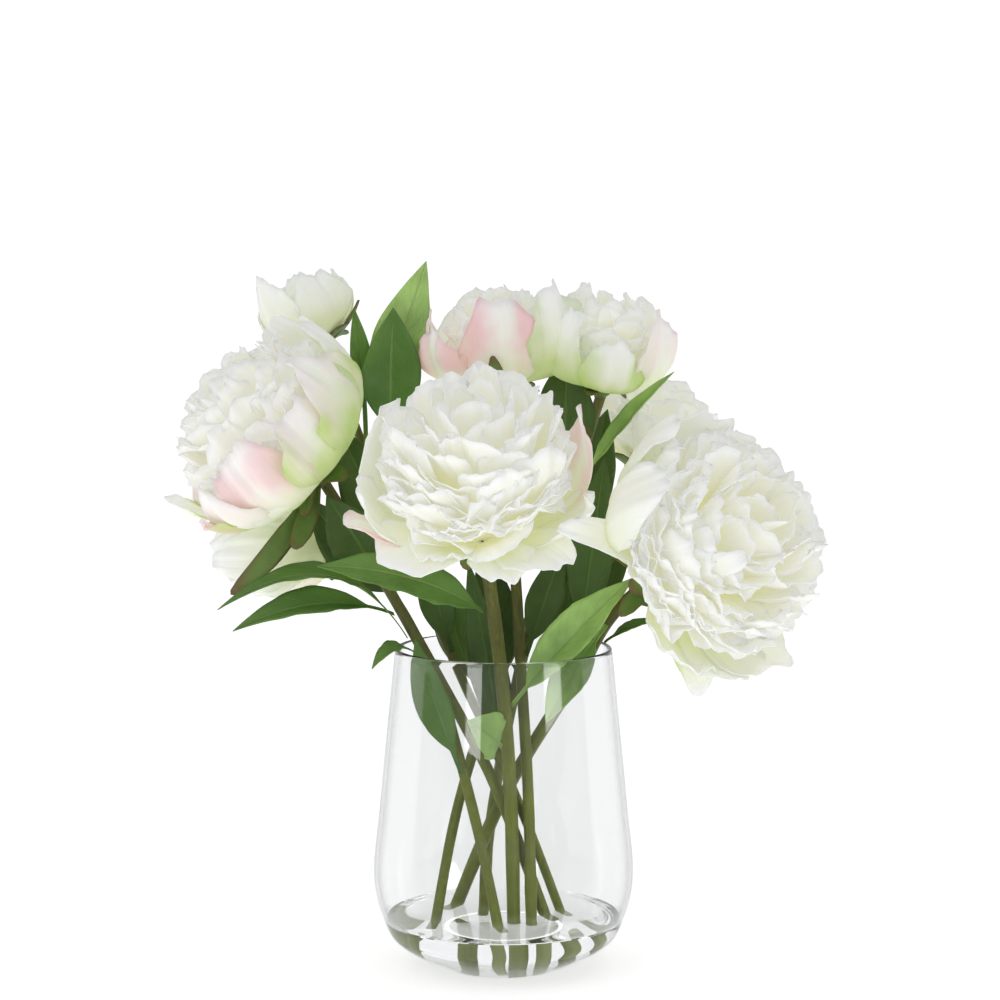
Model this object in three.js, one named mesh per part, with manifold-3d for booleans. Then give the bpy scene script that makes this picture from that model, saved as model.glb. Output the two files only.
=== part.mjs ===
// Peonies in a clear glass vase: eight cut stems set in a clear resin fill, each ending in one
// bloom, with leaves along the stems. Millimetres, +Z up. The origin is the centre of the vase's
// foot, and the front of the bouquet looks along -Y.
import * as THREE from "three";
import { mergeVertices } from "three/addons/utils/BufferGeometryUtils.js";
import Module from "manifold-3d";

const wasm = await Module();
wasm.setup();

// ---------- driving dimensions ----------
const GAP = 0.3; // clearance between touching pieces
const VASE_HEIGHT = 181;
const RIM_RADIUS = 61;
const BELLY_RADIUS = 73.5;
const BELLY_HEIGHT = 51;
const FOOT_RADIUS = 34;
const WALL = 3;
const GLASS_FLOOR = 10; // height of the vase's inside floor
const FLOOR_CORNER = 6; // how far the inside floor stops short of the wall
const ROUND_SIDES = 40; // facets round the vase
const FILL_TOP = 28; // height of the resin's surface
const STEM_SIDES = 8;
const STEM_STEPS = 15;
const SHEET = 1.1; // thickness of a leaf or an outer petal
const RECEPTACLE = 9; // height of the green cup under a bloom

// ---------- materials ----------
function finish(color, roughness, more = {}) {
  return new THREE.MeshStandardMaterial({ color, roughness, metalness: 0, ...more });
}
const MATERIALS = {
  glass: finish(0xf2f6f5, 0.03, { transparent: true, opacity: 0.3 }),
  resin: finish(0xf4f8f4, 0.05, { transparent: true, opacity: 0.3 }),
  stem: finish(0x66733a, 0.55),
  leaf: finish(0x3c6b2f, 0.5),
  sepal: finish(0x5f6f38, 0.55),
  petal: finish(0xf4f3ea, 0.75),
  blush: finish(0xf3e4e2, 0.75),
};

// ---------- solids ----------
// A closed geometry as a manifold solid, moved by an optional matrix.
function solidOf(geometry, matrix = new THREE.Matrix4()) {
  const bare = (geometry.index ? geometry.toNonIndexed() : geometry.clone()).applyMatrix4(matrix);
  bare.deleteAttribute("normal");
  bare.deleteAttribute("uv");
  const merged = mergeVertices(bare, 1e-3);
  return new wasm.Manifold(
    new wasm.Mesh({
      numProp: 3,
      vertProperties: merged.attributes.position.array,
      triVerts: new Uint32Array(merged.index.array),
    }),
  );
}

function geometryOf(solid) {
  const mesh = solid.getMesh();
  const geometry = new THREE.BufferGeometry();
  geometry.setAttribute("position", new THREE.BufferAttribute(mesh.vertProperties, 3));
  geometry.setIndex(new THREE.BufferAttribute(mesh.triVerts, 1));
  geometry.computeVertexNormals();
  return geometry;
}

// A thin closed sheet over surface(u, v), with u from 0 to 1 along it and v from -1 to 1 across it.
function sheet(surface, along, across, thickness) {
  const points = [];
  const at = (i, j) => surface(i / along, (2 * j) / across - 1);
  for (let i = 0; i <= along; i++)
    for (let j = 0; j <= across; j++) {
      const du = at(Math.min(i + 0.5, along), j).sub(at(Math.max(i - 0.5, 0), j));
      const dv = at(i, Math.min(j + 0.5, across)).sub(at(i, Math.max(j - 0.5, 0)));
      const lift = du.cross(dv).normalize().multiplyScalar(thickness / 2);
      points.push(at(i, j).add(lift), at(i, j).sub(lift));
    }
  const id = (i, j, side) => 2 * (i * (across + 1) + j) + side;
  const faces = [];
  const quad = (a, b, c, d) => faces.push(a, b, c, a, c, d);
  for (let i = 0; i < along; i++)
    for (let j = 0; j < across; j++) {
      quad(id(i, j, 0), id(i + 1, j, 0), id(i + 1, j + 1, 0), id(i, j + 1, 0));
      quad(id(i, j, 1), id(i, j + 1, 1), id(i + 1, j + 1, 1), id(i + 1, j, 1));
    }
  for (let i = 0; i < along; i++) {
    quad(id(i, 0, 1), id(i + 1, 0, 1), id(i + 1, 0, 0), id(i, 0, 0));
    quad(id(i, across, 0), id(i + 1, across, 0), id(i + 1, across, 1), id(i, across, 1));
  }
  for (let j = 0; j < across; j++) {
    quad(id(0, j, 0), id(0, j + 1, 0), id(0, j + 1, 1), id(0, j, 1));
    quad(id(along, j, 1), id(along, j + 1, 1), id(along, j + 1, 0), id(along, j, 0));
  }
  const geometry = new THREE.BufferGeometry().setFromPoints(points);
  geometry.setIndex(faces);
  geometry.computeVertexNormals();
  return geometry;
}

// ---------- the vase and its fill ----------
// The outside of the glass, from the edge of the foot up to the rim.
const OUTSIDE = new THREE.SplineCurve([
  new THREE.Vector2(FOOT_RADIUS, 0),
  new THREE.Vector2(0.8 * BELLY_RADIUS, 0.25 * BELLY_HEIGHT),
  new THREE.Vector2(0.92 * BELLY_RADIUS, 0.5 * BELLY_HEIGHT),
  new THREE.Vector2(BELLY_RADIUS, BELLY_HEIGHT),
  new THREE.Vector2(0.95 * BELLY_RADIUS, 1.85 * BELLY_HEIGHT),
  new THREE.Vector2(RIM_RADIUS, VASE_HEIGHT),
]);

// The radius of the inside of the glass at a height.
function insideRadius(height) {
  const steps = 400;
  let best = OUTSIDE.getPoint(0);
  for (let i = 0; i <= steps; i++) {
    const point = OUTSIDE.getPoint(i / steps);
    if (Math.abs(point.y - height) < Math.abs(best.y - height)) best = point;
  }
  return best.x - WALL;
}

// Where the inside wall bends, from the floor up: the fill ends at one of these heights.
const INSIDE = [GLASS_FLOOR, 14, 20, FILL_TOP, 40, 58, 85, 115, 148].map(
  (height) => new THREE.Vector2(insideRadius(height), height),
);
INSIDE[0].x -= FLOOR_CORNER;

function vaseGeometry() {
  const profile = [
    new THREE.Vector2(0, 0),
    ...OUTSIDE.getPoints(12),
    new THREE.Vector2(RIM_RADIUS - WALL, VASE_HEIGHT),
    ...INSIDE.toReversed(),
    new THREE.Vector2(0, GLASS_FLOOR),
  ];
  return new THREE.LatheGeometry(profile, ROUND_SIDES).rotateX(Math.PI / 2);
}

// The resin fills the vase's foot and is cast round the stems.
function fillGeometry() {
  const wall = INSIDE.filter((point) => point.y <= FILL_TOP).map(
    (point) => new THREE.Vector2(point.x - 2 * GAP, Math.max(point.y, GLASS_FLOOR + GAP)),
  );
  const profile = [
    new THREE.Vector2(0, GLASS_FLOOR + GAP),
    ...wall,
    new THREE.Vector2(0, FILL_TOP),
  ];
  let fill = solidOf(new THREE.LatheGeometry(profile, ROUND_SIDES).rotateX(Math.PI / 2));
  for (const stem of Object.values(STEMS)) fill = fill.subtract(solidOf(stemGeometry(stem, GAP)));
  return geometryOf(fill);
}

// ---------- stems ----------
// Each stem's route from its cut foot in the fill, through the waist where the stems cross and
// past the rim, to the bloom that it carries.
const STEMS = {
  centre: {
    radius: 3.8,
    route: [[6, -4, 12], [4, -10, 95], [-1, -22, 165], [-10, -42, 240]],
  },
  top_middle: {
    radius: 3.2,
    route: [[16, -8, 12], [14, -5, 95], [10, 3, 165], [5, 18, 250], [1, 30, 318]],
  },
  top_right: {
    radius: 3,
    route: [[-12, 14, 12], [-8, 31, 70], [10, 36, 165], [36, 30, 260], [54, 22, 318]],
  },
  right: {
    radius: 3.6,
    route: [[-33, 30, 12], [1, 14, 95], [41, -2, 165], [60, -12, 200], [84, -23, 224]],
  },
  right_back: {
    radius: 3,
    route: [[-41, -16, 12], [-24, 18, 95], [4, 45, 170], [46, 64, 235], [78, 72, 268]],
  },
  left: {
    radius: 3.3,
    route: [[29, 4, 12], [-6, -1, 105], [-42, -8, 175], [-82, -5, 245], [-99, -2, 272]],
  },
  top_left: {
    radius: 2.6,
    route: [[38, 14, 12], [7, 4, 95], [-28, 16, 170], [-76, 38, 280], [-100, 46, 344]],
  },
  lower_left: {
    radius: 2.8,
    route: [[0, -24, 12], [-18, -17, 95], [-40, 8, 165], [-68, 34, 212], [-92, 46, 234]],
  },
};

function stemPath({ route }) {
  return new THREE.CatmullRomCurve3(route.map((point) => new THREE.Vector3(...point)));
}

function stemGeometry(stem, grow = 0) {
  const radius = stem.radius + grow;
  const section = new THREE.Shape();
  for (let i = 0; i < STEM_SIDES; i++) {
    const turn = (2 * Math.PI * i) / STEM_SIDES;
    const place = [radius * Math.cos(turn), radius * Math.sin(turn)];
    if (i) section.lineTo(...place);
    else section.moveTo(...place);
  }
  section.closePath();
  return new THREE.ExtrudeGeometry(section, {
    steps: STEM_STEPS,
    extrudePath: stemPath(stem),
    bevelEnabled: false,
  });
}

// ---------- blooms ----------
// radius is that of the open bloom, height its length from the calyx to the crown, and cup how
// far the outer petals stand up: 0 is spread flat, 1 is closed round the bloom.
const BLOOMS = {
  centre: { faces: [-0.08, -0.5, 0.86], radius: 62, height: 96, cup: 0.3, guards: 5 },
  right: { faces: [0.62, -0.66, 0.42], radius: 70, height: 92, cup: 0.3, guards: 5 },
  left: { faces: [-0.66, -0.3, 0.69], radius: 60, height: 88, cup: 0.75, guards: 5 },
  top_middle: { faces: [-0.1, 0.1, 0.98], radius: 37, height: 66, cup: 1, guards: 0 },
  top_right: { faces: [0.16, -0.05, 0.98], radius: 28, height: 62, cup: 1, guards: 0 },
  top_left: { faces: [-0.42, 0.1, 0.9], radius: 28, height: 50, cup: 1, guards: 0 },
  lower_left: { faces: [-0.95, 0.25, -0.08], radius: 33, height: 76, cup: 1, guards: 0 },
  right_back: { faces: [0.35, 0.3, 0.88], radius: 38, height: 58, cup: 1, guards: 0 },
};

// The inner petals fill a rounded crown: widest a little above the middle, narrow at the calyx.
function crownGeometry({ radius, height, guards }) {
  const widest = (guards ? 0.84 : 1) * radius;
  const low = RECEPTACLE + GAP;
  const middle = low + 0.45 * (height - low);
  const profile = [];
  const steps = 9;
  for (let i = 0; i <= steps; i++) {
    const turn = (Math.PI * i) / steps;
    const half = turn < Math.PI / 2 ? middle - low : height - middle;
    profile.push(new THREE.Vector2(widest * Math.sin(turn) ** 0.8, middle - half * Math.cos(turn)));
  }
  profile[0].x = 0;
  profile[steps].x = 0;
  return new THREE.LatheGeometry(profile, 16).rotateX(Math.PI / 2);
}

// One outer petal: a cupped sheet that leaves the calyx and opens under the crown.
function guardGeometry({ radius, height, cup, guards }) {
  const low = RECEPTACLE + GAP + SHEET;
  const middle = low + 0.45 * (height - low);
  const half = (0.92 * Math.PI) / guards;
  return sheet(
    (u, v) => {
      const open = Math.sin((0.5 + 0.1 * cup) * Math.PI * u);
      const start = 8 + 0.06 * radius;
      const reach = start + (radius - start) * open * (1 - 0.04 * v * v);
      const rise = (middle - low) * (1 - Math.cos(0.5 * Math.PI * u)) * (0.45 + 0.75 * cup);
      const turn = v * half * Math.sqrt(Math.sin(Math.PI * (0.25 + 0.62 * u)));
      return new THREE.Vector3(reach * Math.cos(turn), reach * Math.sin(turn), low - 2 + rise);
    },
    5,
    4,
    SHEET,
  );
}

// The green cup that ends the stem, with its sepals folded back round it.
function calyxGeometry({ radius }, sepals = 4) {
  const wide = 6 + 0.06 * radius;
  const cup = new THREE.LatheGeometry(
    [
      new THREE.Vector2(0, 0),
      new THREE.Vector2(3.4, 0),
      new THREE.Vector2(0.75 * wide, 0.3 * RECEPTACLE),
      new THREE.Vector2(wide, 0.8 * RECEPTACLE),
      new THREE.Vector2(0.9 * wide, RECEPTACLE),
      new THREE.Vector2(0, RECEPTACLE),
    ],
    12,
  ).rotateX(Math.PI / 2);
  let calyx = solidOf(cup);
  const length = 12 + 0.2 * radius;
  for (let i = 0; i < sepals; i++) {
    const sepal = sheet(
      (u, v) => {
        const width = (0.35 + Math.sin(Math.PI * (0.08 + 0.86 * u))) * 0.22 * length;
        return new THREE.Vector3(
          0.6 * wide + length * u,
          v * width,
          0.45 * RECEPTACLE - 0.2 * length * u * u,
        );
      },
      4,
      2,
      1.6,
    );
    const turn = new THREE.Matrix4().makeRotationZ((2 * Math.PI * (i + 0.5)) / sepals);
    calyx = calyx.add(solidOf(sepal, turn));
  }
  return geometryOf(calyx);
}

function bloomGroup(name, bloom) {
  const group = new THREE.Group();
  const stem = STEMS[name].route;
  const axis = new THREE.Vector3(...bloom.faces).normalize();
  group.position.set(...stem[stem.length - 1]).addScaledVector(axis, 2);
  group.quaternion.setFromUnitVectors(new THREE.Vector3(0, 0, 1), axis);
  const piece = (geometry, material, label, turn = 0) => {
    const mesh = new THREE.Mesh(geometry, MATERIALS[material]);
    mesh.name = label;
    mesh.rotation.z = turn;
    group.add(mesh);
  };
  piece(calyxGeometry(bloom), "sepal", name + "_calyx");
  piece(crownGeometry(bloom), "petal", name + "_inner_petals");
  for (let i = 0; i < bloom.guards; i++)
    piece(
      guardGeometry(bloom),
      i % 2 ? "blush" : "petal",
      name + "_outer_petal_" + (i + 1),
      (2 * Math.PI * i) / bloom.guards + 0.3,
    );
  return group;
}

// ---------- leaves ----------
// A leaf grows on a stem at a height, reaches its tip, turns its upper side towards face and
// arches by sag. bare is the share of its length that is petiole, before the blade opens.
const LEAVES = {
  top_light: {
    on: "top_left", height: 285, tip: [-44, 38, 397],
    face: [-0.2, -1, 0], sag: 3, width: 33, bare: 0.15,
  },
  top_dark: {
    on: "top_left", height: 250, tip: [-62, 18, 371],
    face: [0.1, -1, 0.1], sag: -5, width: 34, bare: 0.4,
  },
  top_small: {
    on: "top_left", height: 292, tip: [-84, 15, 371],
    face: [0.1, -1, 0], sag: -2, width: 12, bare: 0.3,
  },
  right_upper: {
    on: "top_right", height: 269, tip: [95, -4, 336],
    face: [-0.4, -0.5, 0.7], sag: 4, width: 15, bare: 0.2,
  },
  between: {
    on: "right", height: 172, tip: [57, 6, 288],
    face: [-0.2, -1, 0.2], sag: 4, width: 26, bare: 0.2,
  },
  left_long: {
    on: "left", height: 190, tip: [-156, -46, 208],
    face: [0, -0.3, 1], sag: 29, width: 24, bare: 0.12,
  },
  left_low: {
    on: "left", height: 203, tip: [-148, -44, 196],
    face: [0, -0.6, 0.8], sag: 14, width: 21, bare: 0.12,
  },
  left_broad: {
    on: "centre", height: 206, tip: [-101, -56, 233],
    face: [0.1, -0.7, 0.7], sag: 10, width: 28, bare: 0.08,
  },
  dark_left: {
    on: "left", height: 220, tip: [-98, -20, 268],
    face: [-0.1, -1, 0.2], sag: 3, width: 31, bare: 0.08,
  },
  behind_left: {
    on: "lower_left", height: 205, tip: [-112, 20, 264],
    face: [-0.2, -1, 0.2], sag: 4, width: 28, bare: 0.1,
  },
  rim_left: {
    on: "left", height: 181, tip: [-73, -24, 172],
    face: [-0.2, -0.4, 0.9], sag: 8, width: 13, bare: 0.1,
  },
  hang_left: {
    on: "lower_left", height: 112, tip: [-49, -23, 189],
    face: [-0.4, -0.9, 0.1], sag: 5, width: 21, bare: 0.12,
  },
  inner_left: {
    on: "top_left", height: 145, tip: [-40, 33, 226],
    face: [-0.2, -1, 0], sag: -4, width: 22, bare: 0.12,
  },
  inner_dark: {
    on: "top_left", height: 118, tip: [-20, 0, 230],
    face: [-0.3, -1, 0], sag: 3, width: 20, bare: 0.1,
  },
  inner_front: {
    on: "centre", height: 128, tip: [-20, -45, 147],
    face: [0.1, -0.9, 0.4], sag: 4, width: 27, bare: 0.2,
  },
  right_inner: {
    on: "right", height: 197, tip: [23, -25, 142],
    face: [-0.3, -0.8, 0.5], sag: 2, width: 21, bare: 0.16,
  },
  right_small: {
    on: "right", height: 187, tip: [86, -20, 199],
    face: [0, -0.5, 0.9], sag: 3, width: 9, bare: 0.1,
  },
  right_back: {
    on: "right", height: 210, tip: [105, 22, 189],
    face: [0.2, -0.8, 0.6], sag: 4, width: 17, bare: 0.15,
  },
  right_dark: {
    on: "top_right", height: 160, tip: [76, 32, 244],
    face: [-0.2, -1, 0.1], sag: 4, width: 29, bare: 0.2,
  },
};
const PETIOLE = 2.6; // width of a leaf's stalk
const NIB = 0.6; // half width of a leaf's tip

// Where a leaf's stalk meets its stem: on the side of the stem that looks towards the tip.
function leafBase({ on, height, tip }) {
  const path = stemPath(STEMS[on]);
  const samples = 300;
  let best = 0;
  for (let i = 0; i <= samples; i++) {
    const nearer = Math.abs(path.getPoint(i / samples).z - height);
    if (nearer < Math.abs(path.getPoint(best).z - height)) best = i / samples;
  }
  const point = path.getPoint(best);
  const tangent = path.getTangent(best);
  const side = new THREE.Vector3(...tip).sub(point);
  side.addScaledVector(tangent, -side.dot(tangent)).normalize();
  return point.addScaledVector(side, STEMS[on].radius + PETIOLE / 2 + GAP);
}

// A leaf in its own frame: the base at the origin, the tip along +X and the upper side up.
function leafGeometry(length, { sag, width, bare }) {
  return sheet(
    (u, v) => {
      const blade = Math.max(0, (u - bare) / (1 - bare));
      const open = (width / 2) * Math.sin(Math.PI * blade ** 0.85) ** 0.8;
      const half = u === 1 ? NIB : Math.max(PETIOLE / 2, open);
      const arch = 4 * sag * u * (1 - u);
      return new THREE.Vector3(length * u, half * v, arch + 0.18 * half * Math.abs(v));
    },
    8,
    2,
    SHEET,
  );
}

function leafMesh(name, leaf) {
  const base = leafBase(leaf);
  const along = new THREE.Vector3(...leaf.tip).sub(base);
  const length = along.length();
  along.normalize();
  const across = new THREE.Vector3(...leaf.face).cross(along).normalize();
  const upper = along.clone().cross(across);
  const mesh = new THREE.Mesh(leafGeometry(length, leaf), MATERIALS.leaf);
  mesh.name = name + "_leaf";
  mesh.position.copy(base);
  mesh.quaternion.setFromRotationMatrix(new THREE.Matrix4().makeBasis(along, across, upper));
  return mesh;
}

const bouquet = new THREE.Group();
function place(name, geometry, material) {
  const mesh = new THREE.Mesh(geometry, MATERIALS[material]);
  mesh.name = name;
  bouquet.add(mesh);
}
place("glass_vase", vaseGeometry(), "glass");
place("resin_fill", fillGeometry(), "resin");
for (const [name, stem] of Object.entries(STEMS)) place(name + "_stem", stemGeometry(stem), "stem");
for (const [name, bloom] of Object.entries(BLOOMS)) bouquet.add(bloomGroup(name, bloom));
for (const [name, leaf] of Object.entries(LEAVES)) bouquet.add(leafMesh(name, leaf));

export default bouquet;
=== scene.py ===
"""The visible model of a bouquet of peonies in a clear vase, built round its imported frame.

Units are metres, +Z is up, and the front of the bouquet looks along -Y. Every piece is made where
the frame has the solid that it stands for.
"""

import math
import random

from dataclasses import dataclass

import bpy
from bpy.props import FloatProperty, FloatVectorProperty, IntProperty, PointerProperty
from mathutils import Matrix, Vector


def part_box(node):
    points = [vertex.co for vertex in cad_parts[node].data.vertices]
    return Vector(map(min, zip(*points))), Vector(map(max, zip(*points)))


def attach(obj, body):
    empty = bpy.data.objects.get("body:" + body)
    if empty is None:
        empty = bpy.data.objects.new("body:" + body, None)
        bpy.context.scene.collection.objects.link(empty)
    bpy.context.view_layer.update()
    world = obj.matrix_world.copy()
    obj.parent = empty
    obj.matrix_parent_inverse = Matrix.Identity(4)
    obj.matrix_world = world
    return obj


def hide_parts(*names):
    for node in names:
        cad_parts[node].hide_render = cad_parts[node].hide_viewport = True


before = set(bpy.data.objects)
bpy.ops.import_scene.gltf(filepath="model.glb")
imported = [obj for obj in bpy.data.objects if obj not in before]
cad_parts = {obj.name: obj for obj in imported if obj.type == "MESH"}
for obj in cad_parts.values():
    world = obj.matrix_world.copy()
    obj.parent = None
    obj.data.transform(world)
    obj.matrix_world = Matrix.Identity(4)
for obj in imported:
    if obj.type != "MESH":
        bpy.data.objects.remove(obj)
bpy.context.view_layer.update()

bl_info = {
    "name": "Peony Bouquet",
    "version": (1, 0, 0),
    "blender": (4, 5, 0),
    "location": "3D View > Sidebar > Bouquet",
    "description": "Builds a bouquet of peonies in a clear glass vase",
    "category": "Object",
}

ROOT = "root"
UP = Vector((0, 0, 1))
MM = 0.001


# ---------- node trees ----------


def arithmetic(operation, swapped=False):
    """A method of Wire for one sign of arithmetic, swapped where the wire stands after the sign."""

    def method(self, other):
        values = (other, self) if swapped else (self, other)
        return self.reckon(operation, *values)

    return method


class Wire:
    """One output of a node tree. Arithmetic on it adds Math nodes, and node() adds any other node."""

    def __init__(self, tree, socket=None):
        self.tree = tree
        self.socket = socket

    def node(self, kind, settings=None, values=None, out=0):
        """Adds a node with these settings and socket values, and returns one of its outputs."""
        made = self.tree.nodes.new(kind)
        for key, value in (settings or {}).items():
            setattr(made, key, value)
        for key, value in (values or {}).items():
            socket = pick(made.inputs, key)
            if isinstance(value, Wire):
                self.tree.links.new(value.socket, socket)
            else:
                socket.default_value = value
        return Wire(self.tree, pick(made.outputs, out))

    def out(self, key):
        """Another output of the same node."""
        return Wire(self.tree, pick(self.socket.node.outputs, key))

    def reckon(self, operation, *values):
        """A Math node on these values."""
        return self.node("ShaderNodeMath", {"operation": operation}, dict(enumerate(values)))

    def math(self, operation, *others):
        """A Math node on this output and then these values."""
        return self.reckon(operation, self, *others)

    __add__ = arithmetic("ADD")
    __radd__ = arithmetic("ADD", swapped=True)
    __sub__ = arithmetic("SUBTRACT")
    __rsub__ = arithmetic("SUBTRACT", swapped=True)
    __mul__ = arithmetic("MULTIPLY")
    __rmul__ = arithmetic("MULTIPLY", swapped=True)
    __truediv__ = arithmetic("DIVIDE")
    __pow__ = arithmetic("POWER")

    def __abs__(self):
        return self.math("ABSOLUTE")

    def xyz(self):
        """The three parts of a vector."""
        split = self.node("ShaderNodeSeparateXYZ", None, {0: self})
        return split, split.out("Y"), split.out("Z")

    def vector(self, x, y, z):
        """A vector from three parts."""
        return self.node("ShaderNodeCombineXYZ", None, {0: x, 1: y, 2: z})

    def smooth(self, low, high, start=0.0, end=1.0):
        """Goes smoothly from start to end as this goes from low to high."""
        return self.node(
            "ShaderNodeMapRange",
            {"interpolation_type": "SMOOTHSTEP"},
            {0: self, 1: low, 2: high, 3: start, 4: end},
        )

    def noise(self, vector, scale=1.0, detail=0.0, seed=None):
        """Smooth noise about zero, between -0.5 and 0.5."""
        settings = {"noise_dimensions": "3D" if seed is None else "4D"}
        values = {"Vector": vector, "Scale": scale, "Detail": detail}
        if seed is not None:
            values["W"] = seed
        return self.node("ShaderNodeTexNoise", settings, values) - 0.5

    def mix(self, low, high):
        """A colour between two, with this as the share of the second."""
        settings = {"data_type": "RGBA", "clamp_factor": True}
        return self.node("ShaderNodeMix", settings, {0: self, 6: low, 7: high}, out=2)

    def end(self, kind, key):
        """Leads this output to a new node that ends the tree."""
        last = self.tree.nodes.new(kind)
        self.tree.links.new(self.socket, last.inputs[key])

    def moved(self, geometry, position):
        """A geometry with each of its points put at a position."""
        values = {"Geometry": geometry, "Position": position}
        return self.node("GeometryNodeSetPosition", None, values)


def pick(sockets, key):
    """A socket by number, or the first one in use with that name."""
    if isinstance(key, int):
        return sockets[key]
    return next(s for s in sockets if s.name == key and s.enabled)


def new_tree(name, sockets):
    """A Geometry Nodes tree with these inputs after its geometry, and a wire from its input."""
    tree = bpy.data.node_groups.new(name, "GeometryNodeTree")
    tree.interface.new_socket("Geometry", in_out="OUTPUT", socket_type="NodeSocketGeometry")
    tree.interface.new_socket("Geometry", in_out="INPUT", socket_type="NodeSocketGeometry")
    for label, (kind, default) in sockets.items():
        socket = tree.interface.new_socket(label, in_out="INPUT", socket_type="NodeSocket" + kind)
        if default is not None:
            socket.default_value = default
    return tree, Wire(tree).node("NodeGroupInput")


def end_tree(start, geometry):
    """Closes a Geometry Nodes tree: real geometry, with the material that the tree is given."""
    real = start.node("GeometryNodeRealizeInstances", None, {"Geometry": geometry})
    values = {"Geometry": real, "Material": start.out("Material")}
    start.node("GeometryNodeSetMaterial", None, values).end("NodeGroupOutput", "Geometry")


def store(geometry, name, kind, domain, value):
    """Stores a named attribute on a geometry."""
    settings = {"data_type": kind, "domain": domain}
    values = {"Geometry": geometry, "Name": name, "Value": value}
    return geometry.node("GeometryNodeStoreNamedAttribute", settings, values)


def read(wire, name):
    """A named vector of the geometry."""
    settings = {"data_type": "FLOAT_VECTOR"}
    return wire.node("GeometryNodeInputNamedAttribute", settings, {"Name": name}, "Attribute")


# What a tree stores only for its own use: it is dropped from the finished mesh.
WORKING_FIELDS = ("turn", "foot", "knee", "tip", "shape", "place")


def grown(name, source, tree, values, matrix=None, thickness=None, under=None):
    """Runs a tree on an object's data and keeps the result as a plain mesh piece called name.

    A thickness makes a sheet solid, and under is then the finish of its lower side.
    """
    carrier = bpy.data.objects.new(name + "_carrier", source)
    bpy.context.collection.objects.link(carrier)
    modifier = carrier.modifiers.new("Grow", "NODES")
    modifier.node_group = tree
    for item in tree.interface.items_tree:
        if item.in_out == "INPUT" and item.name in values:
            modifier[item.identifier] = values[item.name]
    if thickness:
        wall = carrier.modifiers.new("Thickness", "SOLIDIFY")
        wall.thickness = thickness
        wall.offset = 0
        wall.use_even_offset = False
        wall.use_rim = True
        if under:
            wall.material_offset = 1
            wall.material_offset_rim = 0
    carrier.update_tag()
    seen = carrier.evaluated_get(bpy.context.evaluated_depsgraph_get())
    mesh = bpy.data.meshes.new_from_object(seen)
    bpy.data.objects.remove(carrier)
    if matrix:
        mesh.transform(matrix)
    if under:
        mesh.materials.append(under)  # the tree leaves one material, and this is the second
    for field in WORKING_FIELDS:
        if field in mesh.attributes:
            mesh.attributes.remove(mesh.attributes[field])
    return piece_of(name, mesh)


def piece_of(name, mesh):
    """A smooth-shaded object made from a mesh."""
    mesh.name = name
    mesh.shade_smooth()
    piece = bpy.data.objects.new(name, mesh)
    bpy.context.collection.objects.link(piece)
    return piece


def settle(piece, slot, *nodes):
    """Hangs a finished piece on the frame's root and hides the nodes of the frame that it stands for.
    Its slot is not used.
    """
    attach(piece, ROOT)
    if nodes:
        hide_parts(*nodes)


# ---------- reading the frame ----------


def points_of(node):
    """The separate corner points of a node of the frame."""
    seen = {tuple(round(c, 6) for c in v.co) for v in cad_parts[node].data.vertices}
    return [Vector(p) for p in sorted(seen)]


def middle_of(points):
    """The mean of some points."""
    return sum(points, Vector()) / len(points)


def names_ending(ending):
    """The names of the frame's nodes that end so, without the ending."""
    return [n[: -len(ending)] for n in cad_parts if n.endswith(ending)]


# ---------- blooms ----------


@dataclass
class Petal:
    """One petal in its bloom's own frame. foot, knee and tip are each a radius and a height."""

    turn: float  # where it stands round the bloom
    foot: tuple
    knee: tuple
    tip: tuple
    half: float  # half width
    cup: float  # how far its sides fold inwards
    ruffle: float  # how far its edge waves
    notch: float  # how uneven the end of the petal is
    rounding: float  # how far its corners are cut back
    waist: float  # its width at the foot, as a share of the whole
    seed: float  # chooses its ruffles
    tone: float  # chooses its veins
    twist: float = 0.0
    blush: float = 0.0
    lime: float = 0.0

    def attributes(self):
        """What the petal tree reads from the petal's point."""
        return {
            "turn": (self.turn, self.seed, self.waist),
            "foot": (*self.foot, self.ruffle),
            "knee": (*self.knee, self.rounding),
            "tip": (*self.tip, self.notch),
            "shape": (self.half, self.twist, self.cup),
            "tint": (self.blush, self.lime, self.tone),
        }


def petal_points(name, petals):
    """A mesh of bare points, one for each petal, that carries the petals' shapes."""
    mesh = bpy.data.meshes.new(name)
    mesh.from_pydata([(0, 0, 0)] * len(petals), [], [])
    for field in petals[0].attributes():
        data = mesh.attributes.new(field, "FLOAT_VECTOR", "POINT").data
        for point, petal in zip(data, petals):
            point.vector = petal.attributes()[field]
    return mesh


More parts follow.
